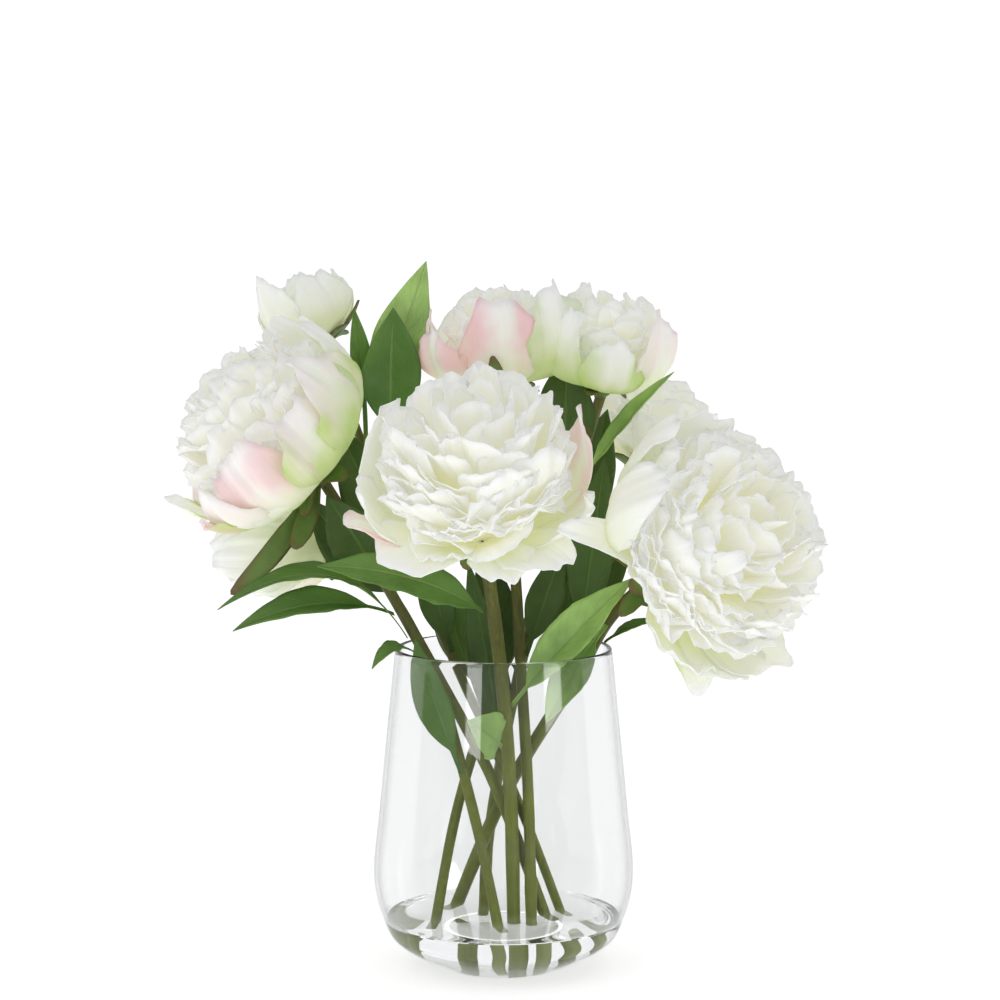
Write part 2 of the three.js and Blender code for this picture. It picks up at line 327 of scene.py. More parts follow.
def petal_tree():
    """Grows one petal on each point, from the shape that the point carries."""
    tree, start = new_tree(
        "Petals",
        {
            "Columns": ("Int", 11),
            "Rows": ("Int", 9),
            "Ruffle Scale": ("Float", 1.0),
            "Material": ("Material", None),
        },
    )
    sheet = start.node(
        "GeometryNodeMeshGrid",
        None,
        {0: 2.0, 1: 1.0, 2: start.out("Columns"), 3: start.out("Rows")},
    )
    x, y, _ = start.node("GeometryNodeInputPosition").xyz()
    placed = store(sheet, "place", "FLOAT_VECTOR", "POINT", start.vector(x, y + 0.5, 0.0))
    mapped = store(placed, "UVMap", "FLOAT2", "CORNER", start.vector((x + 1) / 2, y + 0.5, 0.0))
    petals = start.node(
        "GeometryNodeInstanceOnPoints", None, {"Points": start.out("Geometry"), "Instance": mapped}
    )
    real = start.node("GeometryNodeRealizeInstances", None, {"Geometry": petals})

    across, along, _ = read(start, "place").xyz()
    turn, seed, waist = read(start, "turn").xyz()
    foot_radius, foot_height, ruffle = read(start, "foot").xyz()
    knee_radius, knee_height, rounding = read(start, "knee").xyz()
    tip_radius, tip_height, notch = read(start, "tip").xyz()
    half, twist, cup = read(start, "shape").xyz()
    scale = start.out("Ruffle Scale")

    # The end of the petal: corners cut back, then lobes and small teeth.
    side = abs(across)
    lobes = start.noise(start.vector(across * 1.7, seed * 7.3, 0.0), seed=seed)
    teeth = start.noise(start.vector(across * 5.0, seed * 3.1, 0.0), seed=seed + 5.0)
    reach = 1 - rounding * side**2.4 + notch * (lobes * 2.4 + teeth * 0.9)
    up = along * reach
    rest = 1 - up

    # Its spine: a curve from the foot, bent by the knee, to the tip, and the slope of the curve.
    radius = rest * rest * foot_radius + 2 * up * rest * knee_radius + up * up * tip_radius
    height = rest * rest * foot_height + 2 * up * rest * knee_height + up * up * tip_height
    run = rest * (knee_radius - foot_radius) + up * (tip_radius - knee_radius)
    climb = rest * (knee_height - foot_height) + up * (tip_height - knee_height)
    length = (run * run + climb * climb) ** 0.5 + 1e-6

    # Its face: widening from the waist, twisted, cupped, and ruffled more towards the end.
    width = half * (waist + (1 - waist) * up.smooth(0.0, 0.7))
    out = across * width
    slow = start.noise(start.vector(across * 1.5, up * 1.3, seed * 3.7), scale, seed=seed)
    quick = start.noise(start.vector(across * 4.4, up * 1.8, seed * 5.9), scale, seed=seed + 9.0)
    wavy = ruffle * half * up**1.5 * (slow * 2.4 + quick * (0.6 + side) * up * 2.0)
    lift = out * twist.math("SINE") - cup * out * out / half + wavy
    sideways = out * twist.math("COSINE") + quick * half * up * 0.12
    radius = radius + climb / length * lift
    height = height - run / length * lift

    # Its place round the bloom.
    cosine = turn.math("COSINE")
    sine = turn.math("SINE")
    x = radius * cosine - sideways * sine
    y = radius * sine + sideways * cosine
    end_tree(start, start.moved(real, start.vector(x, y, height)))
    return tree


RECEPTACLE = 9.3 * MM  # height of the green cup under a bloom
GOLDEN = math.pi * (3 - math.sqrt(5))  # the turn from one petal to the next


class Bloom:
    """The place and size of one bloom, read from its calyx and its crown of inner petals."""

    def __init__(self, name):
        crown = points_of(name + "_inner_petals")
        axis = (middle_of(crown) - middle_of(points_of(name + "_calyx"))).normalized()
        heights = [p.dot(axis) for p in crown]
        centre = middle_of(crown)
        self.radius = max((p - centre - axis * (p - centre).dot(axis)).length for p in crown)
        self.low = RECEPTACLE
        self.top = max(heights) - min(heights) + RECEPTACLE
        self.middle = self.low + 0.45 * (self.top - self.low)  # where it is widest
        foot = centre + axis * (min(heights) - RECEPTACLE - centre.dot(axis))
        self.spin = UP.rotation_difference(axis)
        self.matrix = Matrix.Translation(foot) @ self.spin.to_matrix().to_4x4()

    def turn_to(self, direction):
        """The angle round the bloom that points in a direction of the bouquet's frame."""
        local = self.spin.inverted() @ Vector(direction)
        return math.atan2(local.y, local.x)

    def at(self, reach, rise):
        """A radius and a height, from shares of the crown's radius and height."""
        return (reach * self.radius, self.low + rise * (self.top - self.low))


@dataclass
class Crown:
    """How the inner petals of a bloom are packed."""

    petals: int
    spread: float  # how far round from the top the lowest petals reach, in degrees
    half: float  # half width of a petal, as a share of the crown's radius
    curl: float  # how far the petals lean in over the crown
    ruffle: float
    notch: float
    rounding: float
    blush: float = 0.0
    lime: float = 0.0
    swell: float = 1.0  # how wide the crown is, as a share of the frame's
    tall: float = 1.0  # how high its upper part is
    shoulder: float = 0.0  # how far the crown is fuller than an ellipse half way down


CROWNS = {
    "centre": Crown(104, 108, 0.44, 0.45, 0.3, 0.1, 0.26, tall=1.16, shoulder=0.12),
    "right": Crown(118, 108, 0.42, 0.45, 0.32, 0.15, 0.24, swell=1.06, tall=1.08, shoulder=0.06),
    "left": Crown(
        104, 112, 0.44, 0.5, 0.28, 0.12, 0.25, blush=0.25, swell=1.04, tall=1.08, shoulder=0.06
    ),
    "top_middle": Crown(36, 110, 0.6, 0.7, 0.24, 0.1, 0.28, swell=0.92, blush=0.5),
    "top_right": Crown(32, 110, 0.64, 0.75, 0.24, 0.1, 0.28, swell=0.92, lime=0.3),
    "top_left": Crown(14, 90, 0.7, 0.85, 0.18, 0.09, 0.28, swell=0.72, tall=0.92),
    "lower_left": Crown(30, 110, 0.62, 0.75, 0.24, 0.1, 0.28, swell=0.9, lime=0.2),
    "right_back": Crown(56, 125, 0.54, 0.55, 0.28, 0.12, 0.25, swell=1.1, tall=1.12),
}


CROWN_TWIST = 0.5  # how far an inner petal may twist either way


def crown_petals(bloom, crown, seed):
    """The inner petals: set round the axis by the golden angle, with their tips on the crown."""
    draw = random.Random(seed)
    wide = crown.swell * bloom.radius
    cap = 1 - math.cos(math.radians(crown.spread))
    petals = []
    for number in range(crown.petals):
        # Tips at even steps of area from the top down, on one half ellipse above the widest
        # height and another below it.
        share = (number + 0.5) / crown.petals
        polar = math.acos(1 - share * cap) * draw.uniform(0.9, 1.08)
        high = bloom.middle - bloom.low
        if polar < math.pi / 2:
            high = crown.tall * (bloom.top - bloom.middle)
        size = draw.uniform(0.9, 1.03) * (1 + crown.shoulder * math.sin(2 * polar) ** 2)
        tip = Vector((wide * math.sin(polar), high * math.cos(polar))) * size
        down = Vector((wide * math.cos(polar), -high * math.sin(polar))).normalized()
        lean = crown.curl * draw.uniform(0.0, 1.0) * wide
        knee = tip * draw.uniform(0.6, 0.85) + down * lean
        middle = Vector((0, bloom.middle))
        petals.append(
            Petal(
                turn=number * GOLDEN + draw.uniform(-0.25, 0.25),
                foot=((0.04 + 0.08 * share) * wide, bloom.low + 2 * MM * (1 - share)),
                knee=tuple(middle + knee),
                tip=tuple(middle + tip),
                half=crown.half * wide * (0.6 + 0.4 * share) * draw.uniform(0.85, 1.15),
                twist=draw.uniform(-CROWN_TWIST, CROWN_TWIST),
                cup=draw.uniform(0.15, 0.5),
                ruffle=crown.ruffle * draw.uniform(0.6, 1.3),
                notch=crown.notch * draw.uniform(0.6, 1.3),
                rounding=crown.rounding,
                waist=0.3,
                seed=draw.uniform(0, 50),
                blush=crown.blush * draw.choice((0, 0, 1)) * share,
                lime=crown.lime * draw.choice((0, 0.5, 1)) * share,
                tone=draw.random(),
            )
        )
    return petals


@dataclass
class Guard:
    """One broad outer petal. Its tip and knee are shares of the crown's radius and height."""

    towards: tuple  # where it points, in the bouquet's frame
    reach: float
    rise: float
    half: float  # half width, as a share of the crown's radius
    knee: tuple
    ruffle: float = 0.3
    notch: float = 0.09
    rounding: float = 0.32
    cup: float = 0.25
    blush: float = 0.0
    lime: float = 0.2


GUARDS = {
    "centre": [
        Guard((-0.85, 0.35, 0.4), 1.16, 0.8, 0.62, (1.5, 0.04), rounding=0.45),
        Guard((-1, -0.1, 0), 1.24, 0.5, 0.5, (1.25, 0.04), rounding=0.45),
        Guard((-1, 0, -0.3), 1.42, 0.26, 0.42, (0.95, 0.05), blush=0.8, rounding=0.45),
        Guard((-0.7, -0.3, -0.75), 1.22, 0.12, 0.62, (0.9, 0.22), ruffle=0.1, rounding=0.45),
        Guard((-0.45, -0.5, -0.9), 1.04, 0.2, 0.42, (0.8, 0.16), ruffle=0.3, notch=0.1),
        Guard((0.28, -0.5, -0.9), 1.12, 0.1, 0.38, (0.8, 0.16), rounding=0.45, notch=0.12),
        Guard((0.62, -0.4, -0.75), 1.24, 0.12, 0.46, (0.8, 0.16), ruffle=0.3, notch=0.14),
        Guard((0.95, -0.2, -0.25), 1.22, 0.36, 0.5, (1.05, 0.06), rounding=0.45),
        Guard((1, 0.2, 0.3), 1.16, 0.78, 0.42, (1.45, 0.04), blush=0.6),
        Guard((0.6, 0.6, 0.6), 1.12, 0.62, 0.5, (1.3, 0.04)),
        Guard((-0.1, 0.7, 0.8), 1.1, 0.7, 0.5, (1.4, 0.04)),
    ],
    "right": [
        Guard((-0.85, 0.2, 0.7), 1.2, 0.84, 0.44, (1.45, 0.03), lime=0.4),
        Guard((-1, -0.2, 0.25), 1.12, 0.84, 0.42, (1.5, 0.02), cup=0.4),
        Guard((-0.9, -0.3, 0.06), 1.62, 0.26, 0.21, (0.7, 0.2), rounding=0.45, cup=0.5),
        Guard((-0.35, -0.3, -1), 1.2, 0.3, 0.5, (1.1, 0.05)),
        Guard(
            (-0.02, -0.2, -1),
            reach=1.27,
            rise=0.04,
            half=0.36,
            knee=(0.7, 0.0),
            ruffle=0.15,
            notch=0.02,
            rounding=0.5,
            lime=1.0,
        ),
        Guard((0.35, -0.3, -1), 1.26, 0.3, 0.5, (1.1, 0.05), ruffle=0.25, notch=0.1),
        Guard((0.75, -0.3, -0.7), 1.24, 0.4, 0.5, (1.2, 0.05), ruffle=0.25, notch=0.1),
        Guard((0.8, 0.3, 0.1), 1.16, 0.56, 0.5, (1.3, 0.04)),
        Guard((0.5, 0.6, 0.6), 1.16, 0.6, 0.5, (1.3, 0.04)),
        Guard((-0.2, 0.5, 0.8), 1.16, 0.7, 0.5, (1.4, 0.04)),
    ],
    "left": [
        Guard((0.9, 0.1, 0.6), 1.04, 0.84, 0.66, (1.58, 0.1), lime=1.0),
        Guard((0.75, -0.6, 0.4), 1.04, 0.78, 0.58, (1.56, 0.06), lime=1.0, blush=0.3),
        Guard((0.4, -0.9, 0.1), 1.06, 0.7, 0.56, (1.5, 0.04), lime=0.9, blush=0.3),
        Guard((-0.1, -0.9, -0.4), 1.08, 0.68, 0.6, (1.5, 0.04), blush=0.8, lime=0.3),
        Guard((-0.55, -0.6, -0.6), 1.12, 0.58, 0.5, (1.46, 0.03), blush=0.2),
        Guard((-0.8, -0.45, -0.75), 1.32, 0.4, 0.42, (1.2, 0.0), blush=0.9, lime=1.0),
        Guard((-0.95, -0.1, -0.6), 1.3, 0.62, 0.34, (1.3, 0.05), lime=1.0),
        Guard((0.2, -0.6, -0.7), 1.12, 0.34, 0.5, (1.2, 0.02), lime=0.9),
        Guard((-0.8, 0.5, -0.6), 1.14, 0.5, 0.5, (1.2, 0.05), blush=0.4),
        Guard((-0.2, 0.9, 0), 1.1, 0.7, 0.6, (1.5, 0.06), lime=0.5),
        Guard((0.6, 0.8, 0.4), 1.1, 0.85, 0.6, (1.55, 0.06), lime=0.6),
    ],
    "top_middle": [
        Guard((-0.8, -0.55, 0), 1.22, 0.52, 0.62, (1.5, -0.08), blush=1.0),
        Guard((-1, 0.1, 0), 0.98, 0.9, 0.6, (1.5, 0.05), blush=0.5, notch=0.15),
        Guard((0.05, -1, 0), 1.04, 0.78, 0.7, (1.6, -0.16), blush=1.0),
        Guard((0.8, -0.6, 0), 1.08, 0.88, 0.7, (1.65, -0.16), notch=0.1, lime=0.8),
        Guard((0.7, 0.7, 0), 1.05, 0.9, 0.75, (1.6, 0.05)),
        Guard((-0.4, 0.9, 0), 1.05, 0.9, 0.75, (1.6, 0.05)),
    ],
    "top_right": [
        Guard((-0.8, -0.6, 0), 1.14, 0.7, 0.66, (1.66, -0.2), lime=1.0),
        Guard((0.1, -1, 0), 1.16, 0.5, 0.7, (1.5, -0.24), lime=1.0),
        Guard((0.9, -0.4, 0), 1.06, 0.8, 0.8, (1.62, -0.1), blush=0.3, notch=0.1),
        Guard((0.5, 0.9, 0), 1.08, 0.9, 0.8, (1.62, 0.05)),
        Guard((-0.6, 0.8, 0), 1.08, 0.9, 0.8, (1.62, 0.05), lime=0.4),
    ],
    "top_left": [
        Guard((-0.75, -0.65, 0), 0.74, 1.04, 0.66, (1.3, 0.05), ruffle=0.2, rounding=0.4),
        Guard((0.5, -0.85, 0), 0.72, 0.86, 0.7, (1.35, 0.05), ruffle=0.2, notch=0.1),
        Guard((0.95, 0.3, 0), 0.8, 0.78, 0.66, (1.3, 0.05)),
        Guard((0, 1, 0), 0.78, 0.9, 0.7, (1.35, 0.05)),
        Guard((-0.9, 0.4, 0), 0.76, 0.92, 0.66, (1.3, 0.05)),
    ],
    "lower_left": [
        Guard((-0.5, -0.85, 0), 1.1, 0.84, 0.72, (1.55, 0.05), lime=0.3),
        Guard((0.5, -0.85, 0), 1.04, 0.8, 0.72, (1.55, 0.05), lime=0.3),
        Guard((1, 0.2, 0), 1.04, 0.8, 0.72, (1.55, 0.05), blush=0.3),
        Guard((0.3, 0.95, 0), 1.04, 0.85, 0.72, (1.55, 0.05)),
        Guard((-0.8, 0.6, 0), 1.04, 0.85, 0.72, (1.55, 0.05)),
    ],
}


GUARD_WAIST = 0.44  # wide enough at the foot for the petals to close round the cup


def guard_petals(bloom, guards, seed):
    """The outer petals, each turned to where it points."""
    draw = random.Random(seed)
    petals = []
    for guard in guards:
        petals.append(
            Petal(
                turn=bloom.turn_to(guard.towards),
                foot=(0.12 * bloom.radius, bloom.low - 1.5 * MM),
                knee=bloom.at(*guard.knee),
                tip=bloom.at(guard.reach, guard.rise),
                half=guard.half * bloom.radius,
                cup=guard.cup,
                ruffle=guard.ruffle,
                notch=guard.notch,
                rounding=guard.rounding,
                waist=GUARD_WAIST,
                seed=draw.uniform(0, 50),
                blush=guard.blush,
                lime=guard.lime,
                tone=draw.random(),
            )
        )
    return petals


@dataclass
class Bract:
    """A narrow green leaf that starts at the foot of a bloom's cup."""

    towards: tuple  # where it points, in the bouquet's frame
    length: float
    half: float  # half width
    twist: float = 0.0


BRACTS = {
    "left": [
        Bract((-0.66, -0.5, -0.85), 80 * MM, 8 * MM, 1.2),
        Bract((-0.32, -0.6, -0.95), 42 * MM, 7.5 * MM, 0.9),
    ],
    "top_middle": [Bract((-0.12, -0.9, 0.4), 52 * MM, 5.5 * MM)],
    "top_right": [Bract((-0.3, -0.5, 0.2), 20 * MM, 5 * MM)],
    "top_left": [
        Bract((0.55, -0.2, 0.8), 30 * MM, 4 * MM),
        Bract((-0.5, -0.5, 0.5), 20 * MM, 6 * MM),
    ],
    "right": [
        Bract((-0.6, -0.5, -0.5), 36 * MM, 6.5 * MM),
        Bract((-0.75, -0.3, 0.3), 30 * MM, 6 * MM),
    ],
}


def bract_petals(bloom, bracts, seed):
    """The bracts of a bloom, each pointing its own way from the foot of the cup."""
    draw = random.Random(seed)
    petals = []
    for bract in bracts:
        local = bloom.spin.inverted() @ Vector(bract.towards).normalized()
        out = math.hypot(local.x, local.y)
        foot = Vector((3.6 * MM, 4 * MM))
        tip = foot + Vector((out, local.z)) * bract.length
        bulge = Vector((abs(local.z), -out)) * 0.18 * bract.length
        petals.append(
            Petal(
                turn=bloom.turn_to(bract.towards),
                foot=tuple(foot),
                knee=tuple((foot + tip) / 2 + bulge),
                tip=tuple(tip),
                half=bract.half,
                twist=bract.twist,
                cup=0.4,
                ruffle=0.25,
                notch=0.02,
                rounding=0.6,
                waist=0.45,
                seed=draw.uniform(0, 50),
                tone=draw.random(),
            )
        )
    return petals


SEPALS = 5


def sepal_petals(bloom, seed):
    """The sepals: short pointed green leaves folded back under the bloom."""
    draw = random.Random(seed)
    length = 12 * MM + 0.24 * bloom.radius
    petals = []
    for number in range(SEPALS):
        reach = length * draw.uniform(0.85, 1.15)
        petals.append(
            Petal(
                turn=math.tau * (number + 0.5) / SEPALS + draw.uniform(-0.3, 0.3),
                foot=(4 * MM, 4 * MM),
                knee=(0.6 * reach, (5 + 3 * draw.random()) * MM),
                tip=(reach, draw.uniform(0.0, 9) * MM),
                half=0.34 * length,
                cup=0.35,
                ruffle=0.1,
                notch=0.02,
                rounding=0.62,
                waist=0.6,
                seed=draw.uniform(0, 50),
                tone=draw.random(),
            )
        )
    return petals


def lathe(name, profile, sides, matrix=None):
    """A closed solid of revolution: profile runs from the axis round to the axis, anticlockwise."""
    points = []
    faces = []
    rings = []
    for radius, height in profile:
        first = len(points)
        on_axis = radius < 1e-7
        if on_axis:
            points.append((0, 0, height))
            rings.append([first] * sides)
            continue
        for side in range(sides):
            turn = math.tau * side / sides
            points.append((radius * math.cos(turn), radius * math.sin(turn), height))
        rings.append([first + side for side in range(sides)])
    for low, high in zip(rings, rings[1:]):
        for side in range(sides):
            after = (side + 1) % sides
            corners = [low[side], low[after], high[after], high[side]]
            faces.append(list(dict.fromkeys(corners)))
    mesh = bpy.data.meshes.new(name)
    mesh.from_pydata(points, [], faces)
    if matrix:
        mesh.transform(matrix)
    return piece_of(name, mesh)


# ---------- stems ----------

STEM_SIDES = 8  # corners of each ring of a stem in the frame


def stem_route(name):
    """The middle of a stem, ring by ring from its cut foot into its cup, and its radius."""
    points = sorted(points_of(name + "_stem"), key=lambda p: p.z)
    rings = [points[i : i + STEM_SIDES] for i in range(0, len(points), STEM_SIDES)]
    centres = [middle_of(ring) for ring in rings]
    # A resampled curve drops its last part, so the route runs on to the middle of the cup.
    end = (centres[-1] - centres[-2]).normalized()
    centres.append(centres[-1] + end * 0.5 * RECEPTACLE)
    radius = max((p - centres[0]).length for p in rings[0])
    return centres, radius


def stem_tree():
    """A ribbed stem along a curve, a little uneven in thickness, with a swollen joint or two."""
    tree, start = new_tree(
        "Stem",
        {
            "Radius": ("Float", 0.003),
            "Rib Depth": ("Float", 0.05),
            "Unevenness": ("Float", 0.16),
            "Seed": ("Float", 0.0),
            "Material": ("Material", None),
        },
    )
    spacing = 3 * MM
    corners = 24
    ribs = 6
    path = start.node(
        "GeometryNodeResampleCurve",
        {"mode": "LENGTH"},
        {"Curve": start.out("Geometry"), "Length": spacing},
    )
    along = start.node("GeometryNodeSplineParameter").out("Length")
    kept = store(path, "along", "FLOAT", "POINT", along)
    swell = start.noise(start.vector(along * 30, start.out("Seed"), 0.0))
    joint = start.noise(start.vector(along * 14, start.out("Seed") + 4, 0.0)).smooth(0.16, 0.3)
    thick = start.out("Radius") * (1 + start.out("Unevenness") * (swell + joint))
    circle = start.node(
        "GeometryNodeCurvePrimitiveCircle", None, {"Resolution": corners, "Radius": 1.0}
    )
    turn = start.node("GeometryNodeInputIndex") * (math.tau / corners)
    grow = 1 + start.out("Rib Depth") * (turn * ribs).math("COSINE")
    x, y, _ = start.node("GeometryNodeInputPosition").xyz()
    profile = start.moved(circle, start.vector(x * grow, y * grow, 0.0))
    tube = start.node(
        "GeometryNodeCurveToMesh",
        None,
        {"Curve": kept, "Profile Curve": profile, "Scale": thick, "Fill Caps": True},
    )
    end_tree(start, tube)
    return tree


def stem_curve(name, points):
    """A smooth curve through points."""
    data = bpy.data.curves.new(name, "CURVE")
    data.dimensions = "3D"
    spline = data.splines.new("BEZIER")
    spline.bezier_points.add(len(points) - 1)
    for knot, point in zip(spline.bezier_points, points):
        knot.co = point
        knot.handle_left_type = "AUTO"
        knot.handle_right_type = "AUTO"
    return data


# ---------- leaves ----------


@dataclass
class LeafShape:
    """A leaf's own frame, its size and its arch."""

    matrix: Matrix
    length: float
    width: float
    sag: float  # height of its arch
    bare: float  # the share of its length that is stalk


LEAF_ROW = 6  # corners of each row across a leaf in the frame
LEAF_ROWS = 9
STALK_WIDTH = 2.6 * MM


def ends_of(points):
    """The two of some points that are furthest apart."""
    return max(((p, q) for p in points for q in points), key=lambda pair: (pair[0] - pair[1]).length)


def across_of(points):
    """From the one to the other of the two points that are furthest apart."""
    left, right = ends_of(points)
    return left - right


def leaf_shape(name):
    """Measures a leaf of the frame: its stalk end is the wider one of its two ends."""
    points = points_of(name + "_leaf")
    far = max(points, key=lambda p: (p - points[0]).length)
    near = max(points, key=lambda p: (p - far).length)
    along = (far - near).normalized()
    order = sorted(points, key=lambda p: p.dot(along))
    rows = [order[i : i + LEAF_ROW] for i in range(0, LEAF_ROW * LEAF_ROWS, LEAF_ROW)]
    if across_of(rows[0]).length < across_of(rows[-1]).length:
        rows.reverse()
    base = middle_of(rows[0])
    tip = middle_of(rows[-1])
    along = (tip - base).normalized()

    # The two edges stand above the fold, and that is its upper side.
    widths = [across_of(row).length for row in rows]
    widest = rows[widths.index(max(widths))]
    left, right = ends_of(widest)
    across = (left - right) - along * (left - right).dot(along)
    across.normalize()
    upper = along.cross(across)
    core = min(widest, key=lambda p: abs((p - middle_of([left, right])).dot(across)))
    if ((left + right) / 2 - core).dot(upper) < 0:
        across = -across
        upper = -upper

    # The arch is read from the fold, half way along.
    middle = rows[LEAF_ROWS // 2]
    keel = sorted(middle, key=lambda p: abs((p - base).dot(across)))[:2]
    stalk_rows = sum(1 for width in widths[:-1] if width < 1.4 * STALK_WIDTH)
    turned = Matrix((along, across, upper)).transposed().to_4x4()
    return LeafShape(
        matrix=Matrix.Translation(base) @ turned,
        length=(tip - base).length,
        width=max(widths),
        sag=(middle_of(keel) - base).dot(upper),
        bare=max(0.0, (stalk_rows - 0.6) / (LEAF_ROWS - 1)),
    )


@dataclass
class Sprout:
    """A small leaf that the frame leaves out."""

    stem: str  # the stem that carries it
    height: float  # where it starts on the stem
    tip: tuple
    face: tuple  # which way its upper side looks
    width: float
    sag: float = 3 * MM


SPROUTS = {
    "mid_left": Sprout("top_left", 0.175, (-0.045, 0.008, 0.236), (-0.1, -1, 0.1), 0.02),
    "mid_dark": Sprout("top_right", 0.15, (-0.012, 0.026, 0.24), (0, -1, 0.1), 0.024),
    "under_centre": Sprout("top_middle", 0.175, (0.034, 0.008, 0.238), (-0.1, -1, 0.1), 0.02),
    "light_rim": Sprout("centre", 0.15, (0.072, -0.03, 0.224), (-0.3, -0.8, 0.5), 0.025, 0.005),
    "right_low": Sprout("right_back", 0.2, (0.084, 0.04, 0.243), (-0.1, -1, 0.2), 0.026),
    "left_gap": Sprout("top_left", 0.215, (-0.094, 0.015, 0.306), (0, -1, 0.1), 0.034),
    "top_gap": Sprout("top_right", 0.27, (0.036, 0.03, 0.345), (-0.1, -1, 0.1), 0.034),
    "right_gap": Sprout("right_back", 0.225, (0.06, 0.05, 0.312), (-0.1, -1, 0.1), 0.03),
}


# The finish of a leaf that isn't plain green. The first list is lighter green; the second, the leaves
# in the shade behind, between and under the blooms, is given a darker green: painted shade.
LIGHT_LEAVES = ("top_light", "light_rim", "inner_front", "right_upper", "right_inner")
SHADED_LEAVES = ("mid_left", "mid_dark", "under_centre", "right_low", "left_gap", "right_gap", "top_gap")
SHADED_LEAVES += ("behind_left", "inner_dark", "between", "right_dark", "dark_left")
LEAF_FINISHES = dict.fromkeys(LIGHT_LEAVES, "leaf_light") | dict.fromkeys(SHADED_LEAVES, "leaf_painted_shade")


SPROUT_STALK = 0.14  # the share of a small leaf's length that is stalk


def sprout_shape(sprout):
    """The frame and the size of a small leaf, whose stalk starts on the side of its stem."""
    route, radius = stem_route(sprout.stem)
    above = next(i for i, point in enumerate(route) if point.z > sprout.height)
    low, high = route[above - 1], route[above]
    base = low.lerp(high, (sprout.height - low.z) / (high.z - low.z))
    tip = Vector(sprout.tip)
    run = (high - low).normalized()
    away = tip - base
    away -= run * away.dot(run)
    base += away.normalized() * (radius + 0.2 * MM)
    along = (tip - base).normalized()
    across = Vector(sprout.face).cross(along).normalized()
    turned = Matrix((along, across, along.cross(across))).transposed().to_4x4()
    return LeafShape(
        matrix=Matrix.Translation(base) @ turned,
        length=(tip - base).length,
        width=sprout.width,
        sag=sprout.sag,
        bare=SPROUT_STALK,
    )


def leaf_tree():
    """A leaf blade on its stalk: folded along its midrib, arched, with a gently waved edge."""
    tree, start = new_tree(
        "Leaf",
        {
            "Length": ("Float", 0.1),
            "Width": ("Float", 0.03),
            "Stalk Width": ("Float", STALK_WIDTH),
            "Stalk Share": ("Float", 0.1),
            "Sag": ("Float", 0.005),
            "Fold": ("Float", 0.22),
            "Wave": ("Float", 0.25),
            "Bend": ("Float", 0.0),
            "Seed": ("Float", 0.0),
            "Material": ("Material", None),
        },
    )
    rows = 34
    columns = 11
    sheet = start.node("GeometryNodeMeshGrid", None, {0: 1.0, 1: 2.0, 2: rows, 3: columns})
    x, y, _ = start.node("GeometryNodeInputPosition").xyz()
    placed = store(sheet, "place", "FLOAT_VECTOR", "POINT", start.vector(x + 0.5, y, 0.0))
    mapped = store(placed, "UVMap", "FLOAT2", "CORNER", start.vector((y + 1) / 2, x + 0.5, 0.0))

    # The outline: a blade that swells from the end of the stalk, with an uneven edge.
    along, side, _ = read(start, "place").xyz()
    bare = start.out("Stalk Share")
    blade = ((along - bare) / (1 - bare)).math("MAXIMUM", 0.0)
    swell = (blade**0.82 * math.pi).math("SINE")
    swell = swell.math("MAXIMUM", 0.0) ** 0.95
    wobble = start.noise(start.vector(along * 5, side * 0.5, start.out("Seed")), detail=1.0)
    spread = start.out("Width") / 2 * swell * (1 + 0.14 * wobble)
    stalk = start.out("Stalk Width") / 2 * along.smooth(0.6, 1.0, 1.0, 0.1)
    half = spread.math("MAXIMUM", stalk)

    # The arch, the fold along the midrib and the waves of the edge.
    arch = 4 * start.out("Sag") * along * (1 - along)
    wave = start.noise(start.vector(along * 7, side * 0.9, start.out("Seed") + 3), detail=1.0)
    fold = start.out("Fold") * half * abs(side) ** 1.2
    height = arch + fold + start.out("Wave") * half * abs(side) * wave * 2
    drift = start.out("Bend") * (along * math.pi).math("SINE")
    place = start.vector(start.out("Length") * along, half * side + drift, height)
    end_tree(start, start.moved(mapped, place))
    return tree


# ---------- the vase ----------

RIM_RADIUS = 61 * MM
FOOT_RADIUS = 34 * MM
BELLY_HEIGHT = 51 * MM
FILL_TOP = 28 * MM
GLASS_FLOOR = 10 * MM
VASE_SIDES = 160
ROUND_STEPS = 8  # how many steps round the rim and round the corner of the floor


def vase_outline():
    """The outside of the glass from the edge of the foot up to the rim, as (radius, height)."""
    low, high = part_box("glass_vase")
    belly = high[0]
    knots = [
        (FOOT_RADIUS, 0),
        (0.8 * belly, 0.25 * BELLY_HEIGHT),
        (0.92 * belly, 0.5 * BELLY_HEIGHT),
        (belly, BELLY_HEIGHT),
        (0.95 * belly, 1.85 * BELLY_HEIGHT),
        (RIM_RADIUS, high[2]),
    ]
    steps = 14
    knots = [knots[0], *knots, knots[-1]]
    outline = []
    for number in range(len(knots) - 3):
        around = knots[number : number + 4]
        for step in range(steps):
            outline.append(tuple(spline(axis, step / steps) for axis in zip(*around)))
    return [*outline, knots[-1]]


def spline(values, share):
    """A point between the middle two of four values, on a smooth curve through them."""
    before, start, end, after = values
    slope = (end - before) / 2
    leave = (after - start) / 2
    cubic = 2 * start - 2 * end + slope + leave
    square = -3 * start + 3 * end - 2 * slope - leave
    return cubic * share**3 + square * share**2 + slope * share + start


def inside_of(outline, height, wall):
    """The radius of the inside of the glass at a height."""
    nearest = min(outline, key=lambda point: abs(point[1] - height))
    return nearest[0] - wall


# ---------- finishes ----------


def new_paint(name):
    """An empty material and a wire to start its nodes from."""
    material = bpy.data.materials.new(name)
    material.use_nodes = True
    material.node_tree.nodes.clear()
    return material, Wire(material.node_tree)


def close_paint(material, values):
    """Ends a material with a Principled shader, and returns it."""
    shader = Wire(material.node_tree).node("ShaderNodeBsdfPrincipled", None, values)
    shader.end("ShaderNodeOutputMaterial", "Surface")
    return material


def on_blade(wire):
    """The place on a petal or leaf: across it, along it, and how far out from its midrib."""
    across, along, _ = wire.node("ShaderNodeUVMap", {"uv_map": "UVMap"}).xyz()
    return across, along, abs(across * 2 - 1)


